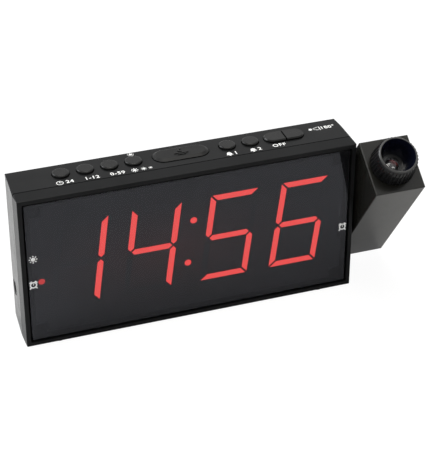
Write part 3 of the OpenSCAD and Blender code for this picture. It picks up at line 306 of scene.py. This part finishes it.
indicator_radius, indicator_x, alarm_dot_z, summer_dot_z = 1.55, 71.7, 34.0, 47.7
dots = bmesh.new()
for x, z, lit in ((-indicator_x, alarm_dot_z, True), (indicator_x, alarm_dot_z, False),
                  (-indicator_x, summer_dot_z, False)):
    press_in(dots, round_outline(x, z, indicator_radius), lit, mask_front_y, bar_depth)
dots.transform(case_middle)
indicators = finish_piece("indicator_lights", dots, (dot_lit, bar_dark), "case", "indicator_dots")

# ---- Window ----
# A 2 mm plate of smoked cast acrylic with eased edges, glued to the frame's ledge. The edges are
# near black, partly the smoked sheet's own dark edge and partly painted shade for the gap round the
# window. Small alarm clock and sun signs are pad-printed on its face in white.

window_smoke, tree, skin = new_finish("window_smoke", (0.12, 0.12, 0.13), 0.02)
skin.inputs["IOR"].default_value = 1.42
skin.inputs["Specular Tint"].default_value = (0.88, 0.9, 1.0, 1)
skin.inputs["Transmission Weight"].default_value = 1.0
gloss_between(tree, skin, cloud_over(tree, 9), 0.0, 0.012)

# Edge finish: partly the acrylic's own dark edge, partly painted shade for the recess gap round the
# window.
window_edge_and_gap_shade, tree, skin = new_finish("window_edge_and_gap_shade", (0.003, 0.003, 0.0035), 0.5, specular=0.2)
shade_between(tree, skin, cloud_over(tree, 2), (0.0025, 0.0025, 0.003), (0.004, 0.004, 0.0045))


def eased_plate(low, high, corner, ease, steps=6):
    """A flat plate with round corners and eased edges, which take the second finish."""
    x0, z0, x1, z1 = low.x, low.z, high.x, high.z
    outline = []
    for cx, cz, start in ((x1 - corner, z1 - corner, 0), (x0 + corner, z1 - corner, 90),
                          (x0 + corner, z0 + corner, 180), (x1 - corner, z0 + corner, 270)):
        for i in range(steps + 1):
            a = math.radians(start + 90 * i / steps)
            outline.append((cx + corner * math.cos(a), cz + corner * math.sin(a),
                            math.cos(a), math.sin(a)))
    plate = bmesh.new()
    rings = []
    for inset, y in ((ease, high.y), (0, high.y - ease), (0, low.y + ease), (ease, low.y)):
        rings.append([plate.verts.new((x - inset * nx, y, z - inset * nz))
                      for x, z, nx, nz in outline])
    n = len(outline)
    plate.faces.new(rings[0])
    plate.faces.new(rings[-1])
    for a, b in zip(rings, rings[1:]):
        for i in range(n):
            plate.faces.new((a[i], a[(i + 1) % n], b[(i + 1) % n], b[i])).material_index = 1
    return plate


window_low, window_high = (Vector(corner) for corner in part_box("display_window"))
window_corner, window_ease = 1.0 * MM, 0.22 * MM
plate = eased_plate(window_low, window_high, window_corner, window_ease)
window = finish_piece("smoked_window", plate, (window_smoke, window_edge_and_gap_shade), "case", "display_window")

white_ink, tree, skin = new_finish("white_ink", (0.9, 0.9, 0.89), 0.5)
shade_between(tree, skin, cloud_over(tree, 0.5), (0.86, 0.86, 0.85), (0.94, 0.94, 0.93))


def bar_between(x0, y0, x1, y1, width):
    """The four corners of a stroke from one point to another."""
    along = Vector((x1 - x0, y1 - y0)).normalized() * (width / 2)
    across = Vector((-along.y, along.x))
    start, end = Vector((x0, y0)), Vector((x1, y1))
    return [tuple(p) for p in (start - across, end - across, end + across, start + across)]


def arc_band(x, y, outer, inner, first, last, steps=10):
    """Part of a ring between two radii and two angles in degrees."""
    angles = [math.radians(first + (last - first) * i / steps) for i in range(steps + 1)]
    outside = [(x + outer * math.cos(a), y + outer * math.sin(a)) for a in angles]
    inside = [(x + inner * math.cos(a), y + inner * math.sin(a)) for a in reversed(angles)]
    return outside + inside


def alarm_clock_sign(size):
    s = size / 4
    return [round_outline(0, 0, 1.75 * s), round_outline(0, 0, 1.1 * s),
            bar_between(0, -0.15 * s, 0, 0.8 * s, 0.36 * s),
            arc_band(0, 0, 2.4 * s, 1.8 * s, 30, 72), arc_band(0, 0, 2.4 * s, 1.8 * s, 108, 150),
            bar_between(-1.2 * s, -1.3 * s, -1.7 * s, -2.0 * s, 0.6 * s),
            bar_between(1.2 * s, -1.3 * s, 1.7 * s, -2.0 * s, 0.6 * s)]


def sun_sign(size, core_share=0.42):
    r = size / 2
    rays = [math.radians(45 * i) for i in range(8)]
    return [round_outline(0, 0, core_share * r)] + [
        bar_between(0.66 * r * math.cos(a), 0.66 * r * math.sin(a),
                    r * math.cos(a), r * math.sin(a), 0.26 * r) for a in rays]


def flat_ink(loops, thick_mm):
    """Closed loops, with loops inside them left open, as one thin flat mesh."""
    drawing = bpy.data.curves.new("drawing", "CURVE")
    drawing.dimensions = "2D"
    drawing.fill_mode = "BOTH"
    drawing.extrude = thick_mm * MM / 2
    for loop in loops:
        line = drawing.splines.new("POLY")
        line.points.add(len(loop) - 1)
        for point, (u, v) in zip(line.points, loop):
            point.co = (u * MM, v * MM, 0, 1)
        line.use_cyclic_u = True
    return plain_mesh(bpy.data.objects.new("drawing", drawing))


def plain_mesh(holder):
    """The evaluated shape of an object as a mesh. The object itself is removed."""
    bpy.context.scene.collection.objects.link(holder)
    bpy.context.view_layer.update()
    graph = bpy.context.evaluated_depsgraph_get()
    mesh = bpy.data.meshes.new_from_object(holder.evaluated_get(graph), depsgraph=graph)
    bpy.data.objects.remove(holder)
    return mesh


ink_thick = 0.03
window_sign_size = 4.0
window_prints = bmesh.new()
for loops, x, z in ((alarm_clock_sign(window_sign_size), -75.9, 34.0),
                    (alarm_clock_sign(window_sign_size), 76.0, 34.4),
                    (sun_sign(window_sign_size, 0.5), -75.3, 47.8)):
    mark = flat_ink(loops, ink_thick)
    mark.transform(Matrix.Translation((pivot.x + x * MM, window_low.y - ink_thick * MM / 2, z * MM))
                   @ Matrix.Rotation(math.radians(90), 4, "X"))
    window_prints.from_mesh(mark)
finish_piece("window_prints", window_prints, (white_ink,), "case")

# ---- Key board and switches ----
# A second green board under the top carries a square switch below each key, with a cream plunger.
# A flat lead joins it to the display board.

plunger_rise = 0.75
switch_plastic, tree, skin = new_finish("switch_plastic", (0.02, 0.02, 0.022), 0.5)
raise_grain(tree, skin, cloud_over(tree, 0.2), 0.01)
place = tree.nodes.new("ShaderNodeTexCoord")
part_of = tree.nodes.new("ShaderNodeSeparateXYZ")
is_plunger = tree.nodes.new("ShaderNodeMath")
is_plunger.operation = "GREATER_THAN"
is_plunger.inputs[1].default_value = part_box("tact_switches")[1][2] - plunger_rise * MM
tone = tree.nodes.new("ShaderNodeMix")
tone.data_type = "RGBA"
tone.inputs["A"].default_value = (0.02, 0.02, 0.022, 1)
tone.inputs["B"].default_value = (0.58, 0.54, 0.42, 1)
tree.links.new(place.outputs["Object"], part_of.inputs["Vector"])
tree.links.new(part_of.outputs["Z"], is_plunger.inputs[0])
tree.links.new(is_plunger.outputs[0], tone.inputs["Factor"])
tree.links.new(tone.outputs["Result"], skin.inputs["Base Color"])
dress(switch_plastic, "tact_switches")

lead_film, tree, skin = new_finish("lead_film", (0.5, 0.3, 0.12), 0.3)
place = tree.nodes.new("ShaderNodeTexCoord")
strips = tree.nodes.new("ShaderNodeTexWave")
strips.inputs["Scale"].default_value = 160
strips.bands_direction = "X"
tones = tree.nodes.new("ShaderNodeValToRGB")
tones.color_ramp.elements[0].color = (0.42, 0.22, 0.07, 1)
tones.color_ramp.elements[1].color = (0.6, 0.42, 0.2, 1)
tree.links.new(place.outputs["Object"], strips.inputs["Vector"])
tree.links.new(strips.outputs["Fac"], tones.inputs["Fac"])
tree.links.new(tones.outputs["Color"], skin.inputs["Base Color"])
dress(lead_film, "board_ribbon", "lcd_ribbon")

# ---- Keys ----
# Key caps moulded in black ABS, with flanges that sit under the top. The snooze key is duller than
# the others, and has a sloped border with a raised moon and two lines in its middle.

key_plastic, tree, skin = new_finish("key_plastic", (0.0085, 0.0085, 0.0085), 0.25, specular=0.19)
shade_between(tree, skin, cloud_over(tree, 5), (0.0075, 0.0075, 0.0075), (0.0100, 0.0100, 0.0098))
gloss_between(tree, skin, cloud_over(tree, 2.5), 0.22, 0.28)
raise_grain(tree, skin, cloud_over(tree, 0.2, 3), 0.002)
round_keys = ("key_time", "key_hour", "key_minute", "key_dimmer", "key_alarm_1", "key_alarm_2")
dress(key_plastic, *round_keys, "key_off", "key_projection")

snooze_plastic, tree, skin = new_finish(
    "snooze_plastic", (0.0085, 0.0085, 0.0085), 0.42, specular=0.14)
shade_between(tree, skin, cloud_over(tree, 5), (0.0075, 0.0075, 0.0075), (0.0100, 0.0100, 0.0098))
raise_grain(tree, skin, cloud_over(tree, 0.2, 3), 0.002)
dress(snooze_plastic, "key_snooze")

snooze_low, snooze_high = (Vector(corner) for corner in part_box("key_snooze"))
emblem_rise, emblem_shown = 0.35, 0.45
moon = [(1.25 * math.cos(math.radians(a)), 1.25 * math.sin(math.radians(a)))
        for a in range(60, 301, 12)]
moon += [(0.55 + 0.95 * math.cos(math.radians(a)), 0.95 * math.sin(math.radians(a)))
         for a in range(245, 114, -12)]
emblem = bmesh.new()
for loops in ([[(x, y + 1.1) for x, y in moon]], [bar_between(-3.4, -1.1, 3.4, -1.1, 0.55)],
              [bar_between(-2.0, -2.3, 2.0, -2.3, 0.5)]):
    raised = flat_ink(loops, emblem_rise)
    raised.transform(Matrix.Translation((
        (snooze_low.x + snooze_high.x) / 2, (snooze_low.y + snooze_high.y) / 2,
        snooze_high.z + emblem_rise * MM * emblem_shown)))
    emblem.from_mesh(raised)
finish_piece("snooze_emblem", emblem, (key_plastic,), "key_snooze")

# ---- Key signs ----
# Small white signs and numbers pad-printed on the top beside the keys. Each is a film of ink that
# follows the top's slight fall towards the rear.

top_high, top_drop, seam_at, rear_at = 79.6, 0.4, -6.65, 13.85
number_height, capital_share, stroke_swell = 2.4, 0.69, 0.034


def number_ink(words, height_mm):
    face = bpy.data.curves.new("numbers", "FONT")
    face.body = words
    face.size = height_mm * MM / capital_share
    face.align_x, face.align_y = "CENTER", "CENTER"
    face.space_character = 1.12
    face.offset = stroke_swell * height_mm * MM
    face.extrude = ink_thick * MM / 2
    return plain_mesh(bpy.data.objects.new("numbers", face))


def bell_sign(size):
    s = size / 2
    dome = [(s * 0.62 * math.cos(math.radians(a)), s * (0.15 + 0.62 * math.sin(math.radians(a))))
            for a in range(0, 181, 15)]
    return [dome + [(-0.72 * s, -0.35 * s), (-0.95 * s, -0.6 * s),
                    (0.95 * s, -0.6 * s), (0.72 * s, -0.35 * s)],
            arc_band(0, -0.68 * s, 0.34 * s, 0.05 * s, 180, 360)]


def dial_sign(size, hand_share):
    r = size / 2
    return [round_outline(0, 0, r), round_outline(0, 0, 0.78 * r),
            bar_between(0, -0.08 * r, 0, 0.62 * r, 0.2 * r),
            bar_between(0.12 * r, 0, hand_share * r, 0, 0.2 * r)]


def beam_sign(size):
    s = size / 2
    return [round_outline(-1.5 * s, 0, 0.55 * s),
            bar_between(-0.7 * s, 0.25 * s, 0.9 * s, 0.85 * s, 0.2 * s),
            bar_between(-0.7 * s, -0.25 * s, 0.9 * s, -0.85 * s, 0.2 * s),
            bar_between(1.35 * s, -1.0 * s, 1.35 * s, 1.0 * s, 0.3 * s)]


# Each sign with the place of its middle, across and back from the case's middle.
signs = [
    (flat_ink(dial_sign(3.4, 0.5), ink_thick), -58.8, -3.9),
    (number_ink("24", number_height), -54.2, -3.9),
    (number_ink("1-12", number_height), -43.9, -3.9),
    (number_ink("0-59", number_height), -31.9, -3.9),
    (flat_ink(sun_sign(3.2, 0.46), ink_thick), -21.6, 10.9),
    (flat_ink(sun_sign(3.4, 0.5), ink_thick), -23.9, -3.8),
    (flat_ink(sun_sign(2.6, 0.52), ink_thick), -19.6, -3.8),
    (flat_ink(sun_sign(1.8, 0.55), ink_thick), -16.4, -3.8),
    (flat_ink(bell_sign(3.6), ink_thick), 21.7, -3.6),
    (number_ink("1", number_height), 24.9, -3.6),
    (flat_ink(bell_sign(3.6), ink_thick), 33.3, -3.6),
    (number_ink("2", number_height), 36.6, -3.6),
    (number_ink("OFF", number_height), 46.4, -3.3),
    (flat_ink(beam_sign(3.2), ink_thick), 68.0, 5.9),
    (number_ink("180°", number_height), 74.2, 5.9),
]
key_signs = bmesh.new()
for mark, x, y in signs:
    mark.transform(Matrix.Translation((x * MM, y * MM, 0)))
    for corner in mark.vertices:
        fall = top_drop * (corner.co.y / MM - seam_at) / (rear_at - seam_at)
        corner.co.z += (top_high - fall + ink_thick / 2) * MM
    mark.transform(case_middle)
    key_signs.from_mesh(mark)
finish_piece("key_signs", key_signs, (white_ink,), "case")

# ---- Power inlet, sounder and back-up cell ----
# The inlet is a moulded block with a nickel pin in its bore. The sounder is glued behind the
# sound holes, and the steel coin cell sits in a cup on brass leaves, under a round door.

inlet_y, inlet_z, pin_reach = 7.15, 20.9, 1.1
inlet_plastic, tree, skin = new_finish("inlet_plastic", (0.008, 0.008, 0.008), 0.45)
raise_grain(tree, skin, cloud_over(tree, 0.2), 0.01)
dress(inlet_plastic, "buzzer")

inlet_parts, tree, skin = new_finish("inlet_parts", (0.008, 0.008, 0.008), 0.35)
place = tree.nodes.new("ShaderNodeTexCoord")
from_axis = tree.nodes.new("ShaderNodeVectorMath")
from_axis.operation = "SUBTRACT"
from_axis.inputs[1].default_value = (0, pivot.y + inlet_y * MM, inlet_z * MM)
across = tree.nodes.new("ShaderNodeVectorMath")
across.operation = "MULTIPLY"
across.inputs[1].default_value = (0, 1, 1)
distance = tree.nodes.new("ShaderNodeVectorMath")
distance.operation = "LENGTH"
is_pin = tree.nodes.new("ShaderNodeMath")
is_pin.operation = "LESS_THAN"
is_pin.inputs[1].default_value = pin_reach * MM
tone = tree.nodes.new("ShaderNodeMix")
tone.data_type = "RGBA"
tone.inputs["A"].default_value = (0.008, 0.008, 0.008, 1)
tone.inputs["B"].default_value = (0.62, 0.6, 0.55, 1)
tree.links.new(place.outputs["Object"], from_axis.inputs[0])
tree.links.new(from_axis.outputs[0], across.inputs[0])
tree.links.new(across.outputs[0], distance.inputs[0])
tree.links.new(distance.outputs["Value"], is_pin.inputs[0])
tree.links.new(is_pin.outputs[0], tone.inputs["Factor"])
tree.links.new(tone.outputs["Result"], skin.inputs["Base Color"])
tree.links.new(is_pin.outputs[0], skin.inputs["Metallic"])
dress(inlet_parts, "dc_jack")

cell_steel, tree, skin = new_finish("cell_steel", (0.56, 0.56, 0.55), 0.28, metallic=1.0)
gloss_between(tree, skin, cloud_over(tree, 1.2), 0.2, 0.36)
dress(cell_steel, "coin_cell")

leaf_brass, tree, skin = new_finish("leaf_brass", (0.6, 0.43, 0.18), 0.3, metallic=1.0)
gloss_between(tree, skin, cloud_over(tree, 1), 0.22, 0.4)
dress(leaf_brass, "battery_contacts")

wire_cover, tree, skin = new_finish("wire_cover", (0.25, 0.02, 0.016), 0.4)
shade_between(tree, skin, cloud_over(tree, 2), (0.22, 0.016, 0.012), (0.3, 0.028, 0.02))
dress(wire_cover, "inner_wires")

dress(case_plastic, "battery_door")

# ---- Screws and feet ----
# Zinc-plated cross-head screws in deep holes at the rear, and round rubber pads pressed into
# pockets under the case.

screw_zinc, tree, skin = new_finish("screw_zinc", (0.5, 0.51, 0.53), 0.3, metallic=1.0)
gloss_between(tree, skin, cloud_over(tree, 0.8), 0.22, 0.4)
dress(screw_zinc, "case_screws", "board_screws", "arm_screws")

foot_rubber, tree, skin = new_finish("foot_rubber", (0.014, 0.014, 0.014), 0.8, specular=0.3)
raise_grain(tree, skin, cloud_over(tree, 0.4, 4), 0.02)
dress(foot_rubber, "feet")

# ---- Pivot ----
# A flanged bush of black acetal in the case's right-hand wall carries the arm's hollow shaft. A
# steel disc spring and clip hold the arm against it, and the lead runs through the bore.

bush_acetal, tree, skin = new_finish("bush_acetal", (0.012, 0.012, 0.012), 0.35)
gloss_between(tree, skin, cloud_over(tree, 1.5), 0.3, 0.42)
dress(bush_acetal, "pivot_bush", "pivot_shaft")

spring_steel, tree, skin = new_finish("spring_steel", (0.38, 0.37, 0.36), 0.32, metallic=1.0)
gloss_between(tree, skin, cloud_over(tree, 0.7), 0.25, 0.42)
dress(spring_steel, "pivot_spring", "pivot_clip")

lead_sleeve, tree, skin = new_finish("lead_sleeve", (0.01, 0.01, 0.01), 0.45)
raise_grain(tree, skin, cloud_over(tree, 0.5), 0.01)
dress(lead_sleeve, "projector_lead", "arm_lead")

# ---- Projector arm ----
# A clamshell of two black ABS mouldings, glossier than the case, split at its mid-depth and
# screwed together from the rear. Inside are the lamp, the condenser, the tube and a small display.

arm_plastic, tree, skin = new_finish("arm_plastic", (0.012, 0.0118, 0.0098), 0.18, specular=0.33)
shade_between(tree, skin, cloud_over(tree, 16), (0.011, 0.0108, 0.0088), (0.0135, 0.0132, 0.011))
gloss_between(tree, skin, cloud_over(tree, 5), 0.17, 0.23)
raise_grain(tree, skin, cloud_over(tree, 0.25, 3), 0.001)
dress(arm_plastic, "arm_front_half", "arm_rear_half")

lamp_resin, tree, skin = new_finish("lamp_resin", (0.85, 0.85, 0.82), 0.1)
skin.inputs["Transmission Weight"].default_value = 0.8
gloss_between(tree, skin, cloud_over(tree, 1), 0.06, 0.16)
dress(lamp_resin, "projector_led")

dress(inlet_plastic, "optics_tube")

picture_glass, tree, skin = new_finish("picture_glass", (0.05, 0.008, 0.008), 0.08)
skin.inputs["Emission Color"].default_value = (1.0, 0.07, 0.05, 1)
skin.inputs["Emission Strength"].default_value = 0.22
shade_between(tree, skin, cloud_over(tree, 3), (0.04, 0.006, 0.006), (0.07, 0.012, 0.012))
dress(picture_glass, "lcd_panel")

lens_glass, tree, skin = new_finish("lens_glass", (0.96, 0.97, 1.0), 0.01)
skin.inputs["IOR"].default_value = 1.52
skin.inputs["Transmission Weight"].default_value = 1.0
gloss_between(tree, skin, cloud_over(tree, 2), 0.004, 0.015)
dress(lens_glass, "condenser_lens", "projection_lens")

# ---- Lens barrel ----
# A black tube that slides in the arm's guide, keyed so that it can't turn. A threaded ring of the
# same plastic holds the lens in its mouth.

barrel_plastic, tree, skin = new_finish("barrel_plastic", (0.004, 0.004, 0.0042), 0.16)
raise_grain(tree, skin, cloud_over(tree, 0.3), 0.01)
dress(barrel_plastic, "lens_barrel", "lens_retainer")

# ---- Focus ring ----
# Turned by hand to focus. It is moulded in black ABS with thin ribs round its tapered side, a
# narrow paler rim, and a polished funnel that leads down to the lens. The funnel's blue tint is a
# painted reflection.

arm_lean, arm_middle_x, ring_seat_z = 35.2, 94.7, 42.5
arm_place = Matrix.Translation(pivot) @ Matrix.Rotation(math.radians(arm_lean), 4, "X")
ring_place = arm_place @ Matrix.Translation((arm_middle_x * MM, 0, ring_seat_z * MM))
rib_count = 36
rib_rise, rib_width, rib_root = 0.5, 0.62, 0.4
side_foot, side_top = (10.5, 0.3), (9.4, 9.9)

ring_plastic, tree, skin = new_finish("ring_plastic", (0.007, 0.007, 0.0075), 0.28, specular=0.2)
shade_between(tree, skin, cloud_over(tree, 3), (0.006, 0.006, 0.0065), (0.009, 0.009, 0.0095))
raise_grain(tree, skin, cloud_over(tree, 0.2, 3), 0.004)

# The funnel's blue tint is a painted bluish reflection.
funnel_gloss_and_blue_sheen, tree, skin = new_finish("funnel_gloss_and_blue_sheen", (0.004, 0.005, 0.012), 0.14)
gloss_between(tree, skin, cloud_over(tree, 4), 0.1, 0.2)

rim_edge, tree, skin = new_finish("rim_edge", (0.022, 0.022, 0.021), 0.38)
gloss_between(tree, skin, cloud_over(tree, 1), 0.32, 0.45)


def turned(profile, finishes_by_step, steps=144):
    """A closed profile of radius and height, turned about the Z axis."""
    work = bmesh.new()
    rounds = []
    for radius, height in profile:
        rounds.append([work.verts.new((
            radius * MM * math.cos(2 * math.pi * i / steps),
            radius * MM * math.sin(2 * math.pi * i / steps), height * MM)) for i in range(steps)])
    count = len(profile)
    for k in range(count):
        a, b = rounds[k], rounds[(k + 1) % count]
        for i in range(steps):
            face = work.faces.new((a[i], a[(i + 1) % steps], b[(i + 1) % steps], b[i]))
            face.material_index = finishes_by_step[k]
            face.smooth = True
    bmesh.ops.recalc_face_normals(work, faces=work.faces)
    mesh = bpy.data.meshes.new("turned")
    work.to_mesh(mesh)
    work.free()
    return mesh


# Radius and height: the neck with its flange, the ribbed side, the rim, and the funnel's wall.
ring_profile = [
    (5.05, -3.2), (8.8, -3.2), (8.8, -2.0), (7.3, -2.0), (7.3, 0.3), side_foot, side_top,
    (9.3, 10.04), (8.98, 10.49), (8.9, 10.57), (8.8, 10.6), (8.5, 10.6), (8.42, 10.56),
    (8.38, 10.45), (5.05, 0.9),
]
ring_finishes = [0, 0, 0, 0, 0, 0, 0, 2, 2, 2, 2, 2, 1, 1, 0]
ring_body = bpy.data.objects.new("ring_body", turned(ring_profile, ring_finishes))

rib = bmesh.new()
lean = Vector((side_top[0] - side_foot[0], side_top[1] - side_foot[1]))
# Along a rib, from the arm outwards: the share of its length, and of its rise there.
sections = ((0.0, 0.75), (0.05, 1.0), (0.92, 1.0), (0.985, 0.55))
rib_rounds = []
for share, size in sections:
    radius, height = side_foot[0] + lean.x * share, side_foot[1] + lean.y * share
    outline = ((-rib_root, -1), (0, -1), (0.62 * rib_rise, -0.62), (rib_rise, -0.22),
               (rib_rise, 0.22), (0.62 * rib_rise, 0.62), (0, 1), (-rib_root, 1))
    rib_rounds.append([rib.verts.new((
        (radius + out * (size if out > 0 else 1)) * MM, side * rib_width / 2 * MM, height * MM))
        for out, side in outline])
rib.faces.new(rib_rounds[0])
rib.faces.new(rib_rounds[-1])
for a, b in zip(rib_rounds, rib_rounds[1:]):
    for i in range(len(a)):
        rib.faces.new((a[i], a[(i + 1) % len(a)], b[(i + 1) % len(a)], b[i]))
bmesh.ops.recalc_face_normals(rib, faces=rib.faces)
rib_mesh = bpy.data.meshes.new("rib")
rib.to_mesh(rib_mesh)
rib.free()
rib_piece = bpy.data.objects.new("rib", rib_mesh)
bpy.context.scene.collection.objects.link(rib_piece)

knurl = bpy.data.node_groups.new("ribs_round_a_ring", "GeometryNodeTree")
socket = knurl.interface.new_socket
socket("Ring", in_out="INPUT", socket_type="NodeSocketGeometry")
rib_input = socket("Rib", in_out="INPUT", socket_type="NodeSocketObject")
count_input = socket("Number of ribs", in_out="INPUT", socket_type="NodeSocketInt")
finish_input = socket("Rib finish", in_out="INPUT", socket_type="NodeSocketMaterial")
socket("Ribbed ring", in_out="OUTPUT", socket_type="NodeSocketGeometry")
enter = knurl.nodes.new("NodeGroupInput")
leave = knurl.nodes.new("NodeGroupOutput")
spots = knurl.nodes.new("GeometryNodeMeshLine")
spots.inputs["Offset"].default_value = (0, 0, 0)
index = knurl.nodes.new("GeometryNodeInputIndex")
share = knurl.nodes.new("ShaderNodeMath")
share.operation = "DIVIDE"
turn = knurl.nodes.new("ShaderNodeMath")
turn.operation = "MULTIPLY"
turn.inputs[1].default_value = 2 * math.pi
angle = knurl.nodes.new("ShaderNodeCombineXYZ")
shape = knurl.nodes.new("GeometryNodeObjectInfo")
stand = knurl.nodes.new("GeometryNodeInstanceOnPoints")
single = knurl.nodes.new("GeometryNodeRealizeInstances")
coat = knurl.nodes.new("GeometryNodeSetMaterial")
join = knurl.nodes.new("GeometryNodeJoinGeometry")
links = knurl.links
links.new(enter.outputs["Number of ribs"], spots.inputs["Count"])
links.new(index.outputs["Index"], share.inputs[0])
links.new(enter.outputs["Number of ribs"], share.inputs[1])
links.new(share.outputs[0], turn.inputs[0])
links.new(turn.outputs[0], angle.inputs["Z"])
links.new(enter.outputs["Rib"], shape.inputs["Object"])
links.new(spots.outputs["Mesh"], stand.inputs["Points"])
links.new(shape.outputs["Geometry"], stand.inputs["Instance"])
links.new(angle.outputs["Vector"], stand.inputs["Rotation"])
links.new(stand.outputs["Instances"], single.inputs["Geometry"])
links.new(single.outputs["Geometry"], coat.inputs["Geometry"])
links.new(enter.outputs["Rib finish"], coat.inputs["Material"])
links.new(coat.outputs["Geometry"], join.inputs["Geometry"])
links.new(enter.outputs["Ring"], join.inputs["Geometry"])
links.new(join.outputs["Geometry"], leave.inputs["Ribbed ring"])

for finish in (ring_plastic, funnel_gloss_and_blue_sheen, rim_edge):
    ring_body.data.materials.append(finish)
ribs = ring_body.modifiers.new("ribs", "NODES")
ribs.node_group = knurl
ribs[rib_input.identifier] = rib_piece
ribs[count_input.identifier] = rib_count
ribs[finish_input.identifier] = ring_plastic
ring_mesh = plain_mesh(ring_body)
bpy.data.objects.remove(rib_piece)
ring_mesh.transform(ring_place)
ring_mesh.name = "ribbed_ring"
ribbed_ring = bpy.data.objects.new("ribbed_ring", ring_mesh)
bpy.context.scene.collection.objects.link(ribbed_ring)
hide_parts("focus_ring")
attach(ribbed_ring, "focus_ring")

# ---- Floor ----
# A plain white studio floor. The camera and glass see it nearly as pure white. Mirror rays see more
# of its painted face, where the clock's shadow lies.

floor_low = cad_box[0][2]
floor_reach = 6.0
white_to_camera, white_to_mirrors, white_strength = 0.86, 0.25, 1.1
floor_mesh = bmesh.new()
bmesh.ops.create_grid(floor_mesh, x_segments=2, y_segments=2, size=floor_reach)
floor_data = bpy.data.meshes.new("floor")
floor_mesh.to_mesh(floor_data)
floor_mesh.free()
floor = bpy.data.objects.new("floor", floor_data)
floor.location.z = floor_low
bpy.context.scene.collection.objects.link(floor)
floor_white = bpy.data.materials.new("floor_white")
floor_white.use_nodes = True
tree = floor_white.node_tree
tree.nodes.clear()
ray = tree.nodes.new("ShaderNodeLightPath")
seen = tree.nodes.new("ShaderNodeMath")
seen.operation = "MAXIMUM"
seen_share = tree.nodes.new("ShaderNodeMath")
seen_share.operation = "MULTIPLY"
seen_share.inputs[1].default_value = white_to_camera
mirrored_share = tree.nodes.new("ShaderNodeMath")
mirrored_share.operation = "MULTIPLY"
mirrored_share.inputs[1].default_value = white_to_mirrors
white_share = tree.nodes.new("ShaderNodeMath")
white_share.operation = "MAXIMUM"
paint = tree.nodes.new("ShaderNodeBsdfDiffuse")
paint.inputs["Color"].default_value = (0.86, 0.86, 0.86, 1)
white = tree.nodes.new("ShaderNodeEmission")
white.inputs["Color"].default_value = (1, 1, 1, 1)
white.inputs["Strength"].default_value = white_strength
blend = tree.nodes.new("ShaderNodeMixShader")
surface = tree.nodes.new("ShaderNodeOutputMaterial")
tree.links.new(ray.outputs["Is Camera Ray"], seen.inputs[0])
tree.links.new(ray.outputs["Is Transmission Ray"], seen.inputs[1])
tree.links.new(seen.outputs[0], seen_share.inputs[0])
tree.links.new(ray.outputs["Is Glossy Ray"], mirrored_share.inputs[0])
tree.links.new(seen_share.outputs[0], white_share.inputs[0])
tree.links.new(mirrored_share.outputs[0], white_share.inputs[1])
tree.links.new(white_share.outputs[0], blend.inputs["Fac"])
tree.links.new(paint.outputs["BSDF"], blend.inputs[1])
tree.links.new(white.outputs["Emission"], blend.inputs[2])
tree.links.new(blend.outputs["Shader"], surface.inputs["Surface"])
floor_data.materials.append(floor_white)

# ---- Lamps ----
# A wide soft lamp overhead, one over the floor at the left rear, and a weak one at the front left.
# The sky lights the clock evenly, and is white to the camera, in mirrors and through glass.


def soft_lamp(name, width, watts, place, aim, colour=(1, 1, 1)):
    data = bpy.data.lights.new(name, "AREA")
    data.shape = "SQUARE"
    data.size = width
    data.energy = watts
    data.color = colour
    lamp = bpy.data.objects.new(name, data)
    lamp.location = place
    lamp.rotation_euler = (Vector(aim) - Vector(place)).to_track_quat("-Z", "Y").to_euler()
    bpy.context.scene.collection.objects.link(lamp)


soft_lamp("overhead_lamp", 0.8, 10.5, (0.08, 0.08, 1.3), (0, 0, 0), (1.0, 0.98, 0.93))
soft_lamp("left_rear_lamp", 0.8, 12.5, (-0.9, 0.6, 0.7), (-0.3, 0.1, 0), (0.93, 0.96, 1.0))
soft_lamp("front_lamp", 0.8, 1.0, (-0.9, -1.1, 0.9), (0, 0, 0.03), (0.95, 0.97, 1.0))

sky_light = 0.32
sky = bpy.data.worlds.new("sky")
sky.use_nodes = True
backdrop = sky.node_tree.nodes["Background"]
backdrop.inputs["Color"].default_value = (1, 1, 1, 1)
ray = sky.node_tree.nodes.new("ShaderNodeLightPath")
white_seen = sky.node_tree.nodes.new("ShaderNodeMath")
white_seen.operation = "MAXIMUM"
mirror_seen = sky.node_tree.nodes.new("ShaderNodeMath")
mirror_seen.operation = "MAXIMUM"
sky_level = sky.node_tree.nodes.new("ShaderNodeMath")
sky_level.operation = "MAXIMUM"
sky_level.inputs[1].default_value = sky_light
sky.node_tree.links.new(ray.outputs["Is Camera Ray"], white_seen.inputs[0])
sky.node_tree.links.new(ray.outputs["Is Transmission Ray"], white_seen.inputs[1])
sky.node_tree.links.new(white_seen.outputs[0], mirror_seen.inputs[0])
sky.node_tree.links.new(ray.outputs["Is Glossy Ray"], mirror_seen.inputs[1])
sky.node_tree.links.new(mirror_seen.outputs[0], sky_level.inputs[0])
sky.node_tree.links.new(sky_level.outputs[0], backdrop.inputs["Strength"])
bpy.context.scene.world = sky

# ---- Camera ----
# A long lens from the front left, looking down on the clock at the photograph's angle. Its place
# and turn come from a fit to the case's corners and the arm's edges.

camera_data = bpy.data.cameras.new("camera")
camera_data.lens = 126.57
camera_data.sensor_width = 36
camera_data.clip_start = 0.01
camera = bpy.data.objects.new("camera", camera_data)
camera.location = (-0.21075, -0.61640, 0.45346)
camera.rotation_euler = (math.radians(57.530), math.radians(-0.024), math.radians(-18.979))
bpy.context.scene.collection.objects.link(camera)
bpy.context.scene.camera = camera

bpy.context.scene.view_settings.view_transform = "Standard"
